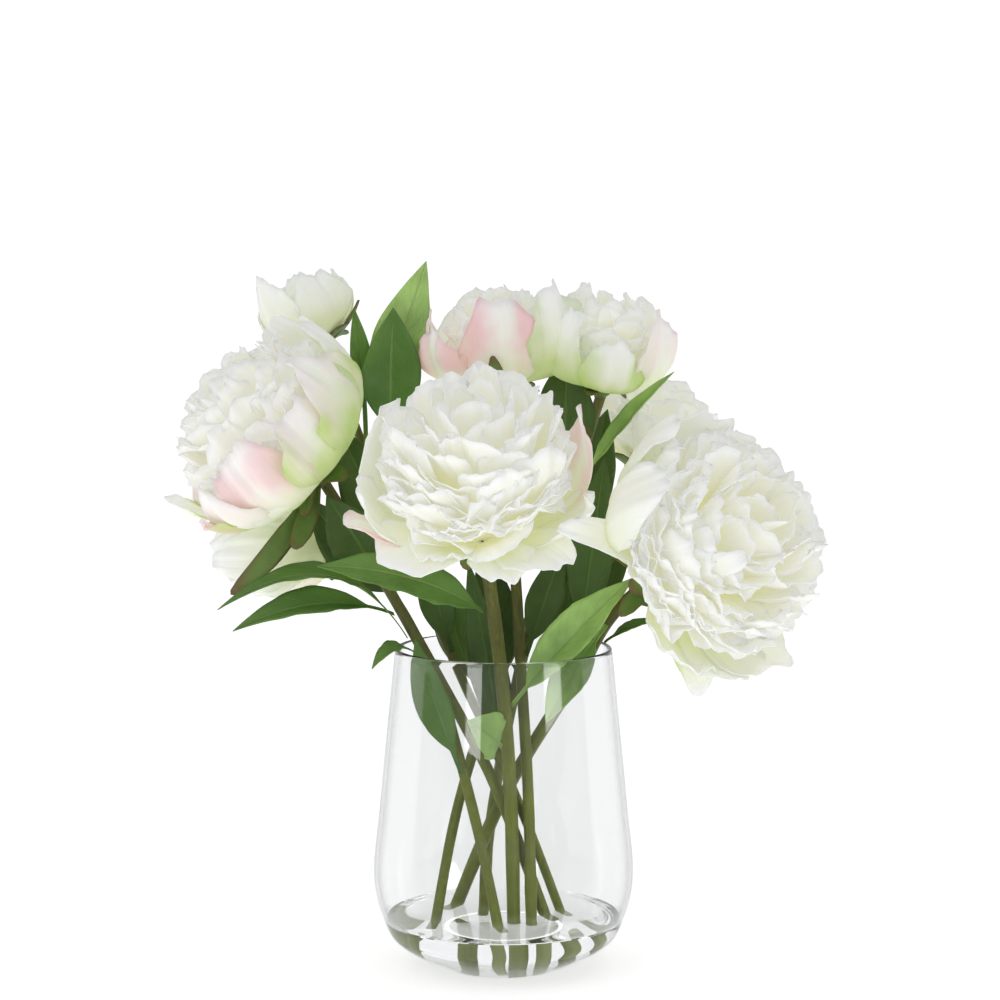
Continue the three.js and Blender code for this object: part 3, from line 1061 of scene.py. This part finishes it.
def shade(base, times):
    """A colour made darker or lighter."""
    return (*(part * times for part in base[:3]), 1.0)


def bumped(wire, height, distance, strength):
    """A normal bent by a height."""
    values = {"Height": height, "Distance": distance, "Strength": strength}
    return wire.node("ShaderNodeBump", None, values)


def petal_paint(colours):
    """Soft cloth petals: greenish yellow at the foot, cream, then white at the edge, with a faint
    glow of their own colour painted in to lift their shade.
    """
    material, wire = new_paint("petal_silk")
    across, along, side = on_blade(wire)
    tint = wire.node("ShaderNodeAttribute", {"attribute_name": "tint"}, out="Vector")
    blush, lime, tone = tint.xyz()
    place = wire.node("ShaderNodeTexCoord", out="Object")
    patch = wire.noise(place, 30.0, 2.0)
    vein = wire.noise(wire.vector(across * 46, along * 4, tone * 30), 1.0, 2.0)
    body = (along + patch * 0.25).smooth(0.36, 0.74).mix(colours.depth, colours.cream)
    body = (along + patch * 0.25).smooth(0.78, 1.0).mix(body, colours.edge)
    pink = (along + patch * 0.4).smooth(0.3, 0.8) * (side + patch * 1.5).smooth(-0.1, 0.6)
    body = (blush * pink).mix(body, colours.blush)
    green_foot = (along + patch * 0.8).smooth(0.95, 0.2)
    green_edge = (side + patch * 1.4).smooth(0.3, 1.1)
    body = (lime * (1 - (1 - green_foot) * (1 - green_edge))).mix(body, colours.lime)
    body = (vein.smooth(-0.2, 0.35) * 0.25).mix(body, shade(colours.cream, 0.84))
    weave = wire.noise(place, 1500.0, 1.0)
    height = vein * 0.8 + weave * 0.25
    return close_paint(
        material,
        {
            "Base Color": body,
            "Roughness": 0.62 + vein * 0.2,
            "Normal": bumped(wire, height, 0.35 * MM, 0.6),
            "Subsurface Weight": 0.4,
            "Subsurface Radius": (1.0, 0.97, 0.85),
            "Subsurface Scale": 3 * MM,
            "Specular IOR Level": 0.2,
            # Painted light: the petals glow faintly in their own colour, which lifts their shade as
            # light through thin petals would.
            "Emission Color": body,
            "Emission Strength": 0.15,
        },
    )


def blade_paint(name, top, deep, vein_colour):
    """Satin leaf: a pale midrib, fine veins that run forward from it, and uneven green."""
    material, wire = new_paint(name)
    across, along, side = on_blade(wire)
    place = wire.node("ShaderNodeTexCoord", out="Object")
    patch = wire.noise(place, 24.0, 3.0)
    grain = wire.noise(wire.vector(across * 90, along * 9, 0.0), 1.0, 2.0)
    run = (along * 13 - side * 2.6 + patch * 0.5).math("PINGPONG", 0.5)
    vein = run.smooth(0.09, 0.0)
    rib = side.smooth(0.09, 0.02)
    body = (patch * 1.8 + 0.55).smooth(0.1, 0.9).mix(deep, top)
    body = (grain.smooth(-0.3, 0.4) * 0.3).mix(body, shade(top, 1.25))
    body = (vein * 0.1).mix(body, vein_colour)
    body = (rib * 0.4).mix(body, vein_colour)
    height = grain * 0.3 - vein * 0.35 - rib * 1.2
    return close_paint(
        material,
        {
            "Base Color": body,
            "Roughness": 0.46 + patch * 0.25,
            "Normal": bumped(wire, height, 0.5 * MM, 0.7),
            "Subsurface Weight": 0.08,
            "Subsurface Scale": 2 * MM,
            "Specular IOR Level": 0.34,
        },
    )


def leaf_paint(colours):
    """The upper side of a leaf."""
    return blade_paint("leaf_top", colours.leaf, colours.leaf_deep, colours.vein)


def light_leaf_paint(colours):
    """The upper side of a lighter green leaf."""
    return blade_paint("leaf_light_top", colours.leaf_light, colours.leaf, colours.vein)


def shaded_leaf_paint(colours):
    """The upper side of the leaves in the shade behind, between and under the blooms: a darker green,
    painted shade.
    """
    deep = shade(colours.leaf_painted_shade, 0.6)
    return blade_paint("leaf_dark_top", colours.leaf_painted_shade, deep, colours.leaf)


def leaf_under_paint(colours):
    """The lower side of every leaf."""
    return blade_paint("leaf_under", colours.leaf_under, colours.leaf, colours.vein)


def stem_paint(colours):
    """Ribbed stem: olive green, streaked along it, brown towards the bloom, painted lighter in the
    resin as painted light, with a pale painted highlight at the cut end.
    """
    material, wire = new_paint("stem_skin")
    along = wire.node("ShaderNodeAttribute", {"attribute_name": "along"}, out="Fac")
    place = wire.node("ShaderNodeTexCoord", out="Object")
    x, y, z = place.xyz()
    patch = wire.noise(place, 60.0, 3.0)
    streak = wire.noise(wire.vector(x * 900, y * 900, z * 45), 1.0, 2.0)
    body = (patch + 0.5).smooth(0.2, 0.8).mix(colours.stem, shade(colours.stem, 1.35))
    body = (streak.smooth(-0.2, 0.4) * 0.45).mix(body, shade(colours.stem, 0.55))
    red = (z + patch * 0.12).smooth(0.13, 0.2) * (streak + patch + 0.7).smooth(0.1, 0.8)
    body = (red * 0.8).mix(body, colours.stem_red)
    # Painted light: the stem is painted lighter in the resin, for the light that reaches it through
    # the glass.
    body = (z.smooth(FILL_TOP + 3 * MM, FILL_TOP - 4 * MM) * 0.85).mix(body, colours.stem_lit_in_resin)
    # Painted highlight: the cut end and the last two millimetres above it are painted pale.
    cut = along.smooth(2.2 * MM, 0.6 * MM)
    body = cut.mix(body, colours.cut)
    return close_paint(
        material,
        {
            "Base Color": body,
            "Roughness": 0.48 + patch * 0.3,
            "Normal": bumped(wire, streak, 0.3 * MM, 0.6),
            "Specular IOR Level": 0.4,
        },
    )


def sepal_paint(colours):
    """Sepals and cups: green at the foot, brown along the edge and at the tip."""
    material, wire = new_paint("sepal_skin")
    across, along, side = on_blade(wire)
    place = wire.node("ShaderNodeTexCoord", out="Object")
    patch = wire.noise(place, 70.0, 2.0)
    vein = wire.noise(wire.vector(across * 40, along * 4, 0.0), 1.0, 2.0)
    brown_tip = (along + patch * 0.3).smooth(0.8, 1.05)
    brown_edge = (side + patch * 0.5).smooth(0.84, 1.05)
    brown = 1 - (1 - brown_tip) * (1 - brown_edge)
    body = (patch + 0.5).smooth(0.1, 0.9).mix(colours.sepal, shade(colours.sepal, 1.4))
    body = (brown * 0.75).mix(body, colours.sepal_brown)
    return close_paint(
        material,
        {
            "Base Color": body,
            "Roughness": 0.5 + vein * 0.2,
            "Normal": bumped(wire, vein, 0.4 * MM, 0.6),
            "Subsurface Weight": 0.05,
            "Subsurface Scale": 2 * MM,
        },
    )


CLEAR_INDEX = 1.5  # refractive index of the glass and of the resin


def clear_paint(name, tint, rim):
    """Clear glass or resin, darker where it is seen on edge, but not at the height of the rim."""
    material, wire = new_paint(name)
    place = wire.node("ShaderNodeTexCoord", out="Object")
    smear = wire.noise(place, 9.0, 3.0)
    facing = wire.node("ShaderNodeLayerWeight", None, {"Blend": 0.5}, out="Facing")
    _, _, z = place.xyz()
    on_edge = facing.smooth(0.6, 1.0) * z.smooth(rim, rim - 5 * MM)
    body = (smear + 0.5).mix(tint, shade(tint, 0.985))
    return close_paint(
        material,
        {
            "Base Color": on_edge.mix(body, shade(tint, 0.32)),
            "Roughness": 0.012 + abs(smear) * 0.02,
            "Transmission Weight": 1.0,
            "IOR": CLEAR_INDEX,
            "Normal": bumped(wire, smear, 0.6 * MM, 0.25),
        },
    )


def glass_paint(colours):
    """The vase's glass."""
    return clear_paint("vase_glass", colours.glass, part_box("glass_vase")[1][2])


def resin_paint(colours):
    """The resin in the vase's foot."""
    return clear_paint("cast_resin", colours.resin, FILL_TOP)


def joined_paint(_colours):
    """The face where the resin meets the glass: nothing shows there."""
    material, _ = new_paint("joined_face")
    return close_paint(material, {"Base Color": (1, 1, 1, 1), "Alpha": 0.0, "Roughness": 1.0})


def floor_paint(_colours):
    """A plain pale floor, which the glass reflects less brightly in front of the vase."""
    material, wire = new_paint("pale_floor")
    place = wire.node("ShaderNodeTexCoord", out="Object")
    patch = wire.noise(place, 2.0, 2.0)
    _, y, _ = place.xyz()
    shine = wire.node("ShaderNodeLightPath", out="Glossy Depth").math("MINIMUM", 1.0)
    dim = shine * y.smooth(0.0, -0.15)
    body = (patch + 0.5).mix((0.93, 0.93, 0.93, 1), (0.95, 0.95, 0.95, 1))
    return close_paint(
        material,
        {
            "Base Color": dim.mix(body, (0.2, 0.2, 0.2, 1)),
            "Roughness": 0.9,
            "Emission Color": dim.mix((1, 1, 1, 1), (0.1, 0.1, 0.1, 1)),
            "Emission Strength": 0.55,
        },
    )


MAKERS = {
    "petal": petal_paint,
    "leaf": leaf_paint,
    "leaf_light": light_leaf_paint,
    "leaf_painted_shade": shaded_leaf_paint,
    "leaf_under": leaf_under_paint,
    "stem": stem_paint,
    "sepal": sepal_paint,
    "glass": glass_paint,
    "resin": resin_paint,
    "joined": joined_paint,
    "floor": floor_paint,
}
PAINTS = {}


def paint(name):
    """A finish by name, made once."""
    if name not in PAINTS:
        PAINTS[name] = MAKERS[name](bpy.context.scene.bouquet_colours)
    return PAINTS[name]


# ---------- sizes and colours that a user would change ----------


def length(name, description, millimetres):
    """A length property."""
    return FloatProperty(
        name=name, description=description, default=millimetres * MM, unit="LENGTH", precision=5
    )


def factor(name, description, default):
    """A share between 0 and 1."""
    return FloatProperty(
        name=name, description=description, default=default, min=0, max=1, subtype="FACTOR"
    )


def colour(name, description, *rgb):
    """A colour property."""
    return FloatVectorProperty(
        name=name,
        description=description,
        default=(*rgb, 1.0),
        size=4,
        min=0,
        max=1,
        subtype="COLOR",
    )


class BouquetSizes(bpy.types.PropertyGroup):
    """Sizes of the bouquet's thin parts."""

    wall: length("Glass wall", "Thickness of the vase's wall", 2.2)
    petal: length("Petal thickness", "Thickness of a petal", 0.45)
    guard: length("Outer petal thickness", "Thickness of a broad outer petal", 0.6)
    leaf: length("Leaf thickness", "Thickness of a leaf", 0.5)
    sepal: length("Sepal thickness", "Thickness of a sepal or bract", 0.8)
    rib: factor("Stem ribs", "Depth of a stem's ribs, as a share of its radius", 0.05)
    fold: factor("Leaf fold", "How far a leaf folds up along its midrib", 0.34)
    wave: factor("Leaf wave", "How far a leaf's edge waves", 0.3)
    seed: IntProperty(name="Seed", description="Chooses another set of petals", default=7)


class BouquetColours(bpy.types.PropertyGroup):
    """Colours of the bouquet."""

    depth: colour("Petal foot", "Petals at the foot", 0.89, 0.89, 0.64)
    cream: colour("Petal", "Petals at the middle", 0.89, 0.89, 0.8)
    edge: colour("Petal edge", "Petals at the edge", 0.89, 0.9, 0.885)
    blush: colour("Blush", "Pink of the outer petals", 0.89, 0.52, 0.58)
    lime: colour("Lime", "Green of the outer petals", 0.46, 0.62, 0.16)
    leaf: colour("Leaf", "Upper side of a leaf", 0.165, 0.32, 0.07)
    leaf_deep: colour("Leaf shade", "Darker patches of a leaf", 0.08, 0.19, 0.035)
    leaf_painted_shade: colour("Leaf in painted shade", "Upper side of a leaf, painted darker as shade", 0.085, 0.165, 0.035)
    leaf_light: colour("Light leaf", "Upper side of a light green leaf", 0.5, 0.78, 0.23)
    leaf_under: colour("Leaf underside", "Lower side of a leaf", 0.22, 0.38, 0.11)
    vein: colour("Vein", "Midrib and veins", 0.32, 0.46, 0.15)
    stem: colour("Stem", "Stem", 0.19, 0.22, 0.035)
    stem_lit_in_resin: colour("Stem in resin", "Foot of a stem in the resin, painted lighter for the light through the glass", 0.42, 0.5, 0.2)
    stem_red: colour("Stem top", "Stem towards the bloom", 0.11, 0.1, 0.028)
    cut: colour("Cut end", "Pale painted highlight at the cut end of a stem", 0.7, 0.74, 0.42)
    sepal: colour("Sepal", "Sepals and cups", 0.125, 0.205, 0.045)
    sepal_brown: colour("Sepal tip", "Edges of the sepals", 0.2, 0.08, 0.04)
    glass: colour("Glass", "Glass of the vase", 0.92, 0.927, 0.926)
    resin: colour("Resin", "Cast resin in the foot", 0.965, 0.98, 0.965)


# ---------- operators ----------


@dataclass
class Softbox:
    """A rectangular lamp that faces a point."""

    place: tuple
    aim: tuple
    size: tuple
    power: float
    tint: tuple = (1, 1, 1)
    card: bool = False  # a card shows in reflections, and lights nothing


SOFTBOXES = {
    "key": Softbox((-1.3, -1.5, 1.9), (0, 0, 0.28), (1.2, 1.2), 3.8, tint=(1, 0.99, 0.97)),
    "card_left": Softbox((-0.86, -1.5, 0.63), (0, 0, 0.12), (0.5, 1.0), 6.5, card=True),
    "card_right": Softbox((1.3, -1.05, 0.64), (0, 0, 0.12), (0.6, 1.0), 8.0, card=True),
}
BACKDROP = 1.05  # how bright the surroundings are behind the bouquet
SURROUND = 0.6  # how bright they are as a light
REFLECTED = 0.42  # the share of the front of the room that shows in reflections
FAR = 30.0  # half the side of the floor, and how far the camera sees
CAMERA = (-0.002, -1.53, 0.405)
CAMERA_AIM = (-0.002, 0, 0.264)
LENS = 98.8  # focal length in millimetres, on a sensor 36 mm wide


class BOUQUET_OT_stage(bpy.types.Operator):
    """Sets the pale floor, the white surroundings, the softboxes and the camera"""

    bl_idname = "bouquet.stage"
    bl_label = "Stage"

    def execute(self, context):
        mesh = bpy.data.meshes.new("floor")
        corners = [(-FAR, -FAR, 0), (FAR, -FAR, 0), (FAR, FAR, 0), (-FAR, FAR, 0)]
        mesh.from_pydata(corners, [], [(0, 1, 2, 3)])
        mesh.materials.append(paint("floor"))
        floor = bpy.data.objects.new("floor", mesh)
        context.collection.objects.link(floor)
        self.surroundings(context)
        for name, box in SOFTBOXES.items():
            self.softbox(context, name, box)
        self.camera(context)
        return {"FINISHED"}

    def surroundings(self, context):
        """White all round: less bright as a light than as a backdrop, and dim when reflected."""
        world = bpy.data.worlds.new("surroundings")
        context.scene.world = world
        world.use_nodes = True
        world.node_tree.nodes.clear()
        wire = Wire(world.node_tree)
        path = wire.node("ShaderNodeLightPath")
        # The backdrop is seen straight, or through clear glass: not by light on its way to a petal.
        clear = path.out("Is Transmission Ray") * (1 - path.out("Diffuse Depth")).math("MAXIMUM", 0)
        seen = path.out("Is Camera Ray").math("MAXIMUM", clear)
        _, y, _ = wire.node("ShaderNodeTexCoord", out="Generated").xyz()
        shine = path.out("Glossy Depth").math("MINIMUM", 1.0) * y.smooth(0.1, -0.5)
        strength = (SURROUND + seen * (BACKDROP - SURROUND)) * (1 - shine * (1 - REFLECTED))
        values = {"Color": (0.985, 0.99, 1, 1), "Strength": strength}
        wire.node("ShaderNodeBackground", None, values).end("ShaderNodeOutputWorld", "Surface")
        context.scene.view_settings.view_transform = "Standard"

    def softbox(self, context, name, box):
        """Hangs one softbox."""
        light = bpy.data.lights.new(name, "AREA")
        light.shape = "RECTANGLE"
        light.size, light.size_y = box.size
        light.energy = box.power
        light.color = box.tint
        lamp = bpy.data.objects.new(name, light)
        self.aim(lamp, box.place, box.aim)
        lamp.visible_camera = False
        lamp.visible_diffuse = not box.card
        context.collection.objects.link(lamp)

    def camera(self, context):
        """The view from the front, a little above the rim of the vase."""
        data = bpy.data.cameras.new("camera")
        data.lens = LENS
        data.sensor_width = 36
        data.clip_end = FAR
        camera = bpy.data.objects.new("camera", data)
        self.aim(camera, CAMERA, CAMERA_AIM)
        context.collection.objects.link(camera)
        context.scene.camera = camera

    def aim(self, thing, place, target):
        """Puts a lamp or camera in its place, facing a point."""
        thing.location = place
        thing.rotation_euler = (Vector(target) - Vector(place)).to_track_quat("-Z", "Y").to_euler()


class BOUQUET_OT_vase(bpy.types.Operator):
    """Turns the glass vase and the clear resin in its foot"""

    bl_idname = "bouquet.vase"
    bl_label = "Vase and fill"

    def execute(self, context):
        sizes = context.scene.bouquet_sizes
        outline = vase_outline()
        rim_height = outline[-1][1]
        lip = sizes.wall / 2
        outside = [point for point in outline if point[1] < rim_height - lip]
        centre = inside_of(outline, rim_height, lip)
        rim = []
        for step in range(ROUND_STEPS + 1):
            turn = math.pi * step / ROUND_STEPS
            rim.append((centre + lip * math.cos(turn), rim_height - lip + lip * math.sin(turn)))
        inner_heights = [p[1] for p in reversed(outside) if p[1] > FILL_TOP]
        inner = [(inside_of(outline, z, sizes.wall), z) for z in inner_heights]
        joint = self.foot_profile(outline, sizes.wall)
        hollow = 1.2 * MM
        foot = [(0, hollow), (0.8 * FOOT_RADIUS, 0.75 * hollow), (0.93 * FOOT_RADIUS, 0)]
        vase = lathe("vase_glass", [*foot, *outside, *rim, *inner, *joint], VASE_SIDES)
        self.paint_joint(vase, "glass", joint)
        settle(vase, "glass", "glass_vase")
        meniscus = 0.8 * MM
        wall = joint[0][0]
        surface = [(wall - 1.2 * MM, FILL_TOP - meniscus * 0.75)]
        surface += [(wall - 4 * MM, FILL_TOP - meniscus), (0, FILL_TOP - meniscus)]
        resin = lathe("cast_resin_fill", [*reversed(joint), *surface], VASE_SIDES)
        self.paint_joint(resin, "resin", joint)
        settle(resin, "resin", "resin_fill")
        return {"FINISHED"}

    def foot_profile(self, outline, wall):
        """The inside of the vase's foot, from the resin's surface down to the middle."""
        corner = 9 * MM
        taper = 0.1
        heights = [FILL_TOP - (FILL_TOP - GLASS_FLOOR - corner) * i / 4 for i in range(5)]
        profile = [(inside_of(outline, z, wall) - (FILL_TOP - z) * taper, z) for z in heights]
        edge = profile[-1][0]
        for step in range(1, ROUND_STEPS + 1):
            turn = math.pi / 2 * step / ROUND_STEPS
            height = GLASS_FLOOR + corner * (1 - math.sin(turn))
            profile.append((edge - corner * (1 - math.cos(turn)), height))
        return [*profile, (0, GLASS_FLOOR)]

    def paint_joint(self, piece, finish, joint):
        """Gives the faces of the joint between resin and glass their own material."""
        mesh = piece.data
        mesh.materials.append(paint(finish))
        mesh.materials.append(paint("joined"))
        on_joint = {(round(r, 6), round(z, 6)) for r, z in joint}
        for face in mesh.polygons:
            corners = [mesh.vertices[i].co for i in face.vertices]
            places = {(round(math.hypot(c.x, c.y), 6), round(c.z, 6)) for c in corners}
            if places <= on_joint:
                face.material_index = 1


class BOUQUET_OT_stems(bpy.types.Operator):
    """Grows the ribbed stems along their routes"""

    bl_idname = "bouquet.stems"
    bl_label = "Stems"

    def execute(self, context):
        tree = stem_tree()
        for number, name in enumerate(names_ending("_stem")):
            points, radius = stem_route(name)
            values = {
                "Radius": radius,
                "Rib Depth": context.scene.bouquet_sizes.rib,
                "Seed": float(number * 7),
                "Material": paint("stem"),
            }
            piece = grown(name + "_stalk", stem_curve(name, points), tree, values)
            settle(piece, "stem", name + "_stem")
        return {"FINISHED"}


class BOUQUET_OT_leaves(bpy.types.Operator):
    """Grows a veined blade in the place of every leaf"""

    bl_idname = "bouquet.leaves"
    bl_label = "Leaves"

    def execute(self, context):
        sizes = context.scene.bouquet_sizes
        tree = leaf_tree()
        draw = random.Random(sizes.seed)
        shapes = {name: leaf_shape(name) for name in names_ending("_leaf")}
        shapes.update((name, sprout_shape(sprout)) for name, sprout in SPROUTS.items())
        for number, (name, shape) in enumerate(shapes.items()):
            finish = LEAF_FINISHES.get(name, "leaf")
            values = {
                "Length": shape.length,
                "Width": shape.width,
                "Stalk Share": shape.bare,
                "Sag": shape.sag,
                "Fold": sizes.fold * draw.uniform(0.7, 1.3),
                "Wave": sizes.wave * draw.uniform(0.6, 1.4),
                "Bend": shape.length * draw.uniform(-0.02, 0.02),
                "Seed": float(number),
                "Material": paint(finish),
            }
            piece = grown(
                name + "_leaf_blade",
                two_sided(name, finish),
                tree,
                values,
                shape.matrix,
                sizes.leaf,
                paint("leaf_under"),
            )
            nodes = [] if name in SPROUTS else [name + "_leaf"]
            settle(piece, "leaf", *nodes)
        return {"FINISHED"}


def two_sided(name, finish):
    """An empty mesh with room for the finishes of both sides."""
    mesh = bpy.data.meshes.new(name)
    mesh.materials.append(paint(finish))
    mesh.materials.append(paint("leaf_under"))
    return mesh


# Columns and rows of each petal.
CROWN_GRID = (19, 9)
GUARD_GRID = (21, 18)
SEPAL_GRID = (9, 12)
CUP_SIDES = 24

# What each kind of petal adds to the seed.
GUARD_SEED = 40
SEPAL_SEED = 80
BRACT_SEED = 120


def petal_piece(name, bloom, petals, tree, grid, finish, thickness):
    """Grows petals on a bloom."""
    columns, rows = grid
    values = {"Columns": columns, "Rows": rows, "Ruffle Scale": 1.0, "Material": paint(finish)}
    points = petal_points(name + "_points", petals)
    return grown(name, points, tree, values, bloom.matrix, thickness)


class BOUQUET_OT_inner_petals(bpy.types.Operator):
    """Packs the ruffled inner petals of every bloom"""

    bl_idname = "bouquet.inner_petals"
    bl_label = "Inner petals"

    def execute(self, context):
        sizes = context.scene.bouquet_sizes
        tree = petal_tree()
        for number, (name, crown) in enumerate(CROWNS.items()):
            bloom = Bloom(name)
            petals = crown_petals(bloom, crown, sizes.seed + number)
            title = name + "_crown_petals"
            piece = petal_piece(title, bloom, petals, tree, CROWN_GRID, "petal", sizes.petal)
            settle(piece, "petal", name + "_inner_petals")
        return {"FINISHED"}


class BOUQUET_OT_outer_petals(bpy.types.Operator):
    """Sets the broad outer petals round the open blooms"""

    bl_idname = "bouquet.outer_petals"
    bl_label = "Outer petals"

    def execute(self, context):
        sizes = context.scene.bouquet_sizes
        tree = petal_tree()
        for number, (name, guards) in enumerate(GUARDS.items()):
            bloom = Bloom(name)
            petals = guard_petals(bloom, guards, sizes.seed + GUARD_SEED + number)
            title = name + "_guard_petals"
            piece = petal_piece(title, bloom, petals, tree, GUARD_GRID, "petal", sizes.guard)
            nodes = [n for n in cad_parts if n.startswith(name + "_outer_petal_")]
            settle(piece, "blush" if nodes else "petal", *nodes)
        return {"FINISHED"}


class BOUQUET_OT_calyces(bpy.types.Operator):
    """Makes the green cup and the sepals under every bloom"""

    bl_idname = "bouquet.calyces"
    bl_label = "Calyces"

    def execute(self, context):
        sizes = context.scene.bouquet_sizes
        tree = petal_tree()
        for number, name in enumerate(CROWNS):
            bloom = Bloom(name)
            wide = 6 * MM + 0.06 * bloom.radius
            tall = RECEPTACLE
            profile = [(0, 0), (3.1 * MM, 0), (3.4 * MM, 0.12 * tall), (0.62 * wide, 0.26 * tall)]
            profile += [(0.9 * wide, 0.5 * tall), (wide, 0.78 * tall), (0.94 * wide, 0.95 * tall)]
            profile += [(0.7 * wide, tall), (0, tall)]
            cup = lathe(name + "_cup", profile, CUP_SIDES, bloom.matrix)
            cup.data.uv_layers.new(name="UVMap")
            cup.data.materials.append(paint("sepal"))
            settle(cup, "sepal")
            petals = sepal_petals(bloom, sizes.seed + SEPAL_SEED + number)
            seed = sizes.seed + BRACT_SEED + number
            petals += bract_petals(bloom, BRACTS.get(name, ()), seed)
            title = name + "_sepals"
            piece = petal_piece(title, bloom, petals, tree, SEPAL_GRID, "sepal", sizes.sepal)
            settle(piece, "sepal", name + "_calyx")
        return {"FINISHED"}


OPERATORS = (
    BOUQUET_OT_stage,
    BOUQUET_OT_vase,
    BOUQUET_OT_stems,
    BOUQUET_OT_leaves,
    BOUQUET_OT_inner_petals,
    BOUQUET_OT_outer_petals,
    BOUQUET_OT_calyces,
)


class BOUQUET_PT_panel(bpy.types.Panel):
    """Lists the steps that build the bouquet, with its sizes and colours"""

    bl_idname = "BOUQUET_PT_panel"
    bl_label = "Peony bouquet"
    bl_space_type = "VIEW_3D"
    bl_region_type = "UI"
    bl_category = "Bouquet"

    def draw(self, context):
        layout = self.layout
        for operator in OPERATORS:
            layout.operator(operator.bl_idname)
        for group in (context.scene.bouquet_sizes, context.scene.bouquet_colours):
            box = layout.box()
            for name in group.bl_rna.properties.keys():
                if name not in ("rna_type", "name"):
                    box.prop(group, name)


CLASSES = (BouquetSizes, BouquetColours, *OPERATORS, BOUQUET_PT_panel)


def register():
    """Adds the steps, the panel and the settings to Blender."""
    for item in CLASSES:
        bpy.utils.register_class(item)
    bpy.types.Scene.bouquet_sizes = PointerProperty(type=BouquetSizes)
    bpy.types.Scene.bouquet_colours = PointerProperty(type=BouquetColours)


def unregister():
    """Takes them away again."""
    del bpy.types.Scene.bouquet_colours
    del bpy.types.Scene.bouquet_sizes
    for item in reversed(CLASSES):
        bpy.utils.unregister_class(item)


def main():
    """Builds the whole bouquet."""
    register()
    bpy.ops.bouquet.stage()
    bpy.ops.bouquet.vase()
    bpy.ops.bouquet.stems()
    bpy.ops.bouquet.leaves()
    bpy.ops.bouquet.inner_petals()
    bpy.ops.bouquet.outer_petals()
    bpy.ops.bouquet.calyces()


if __name__ == "__main__":
    main()
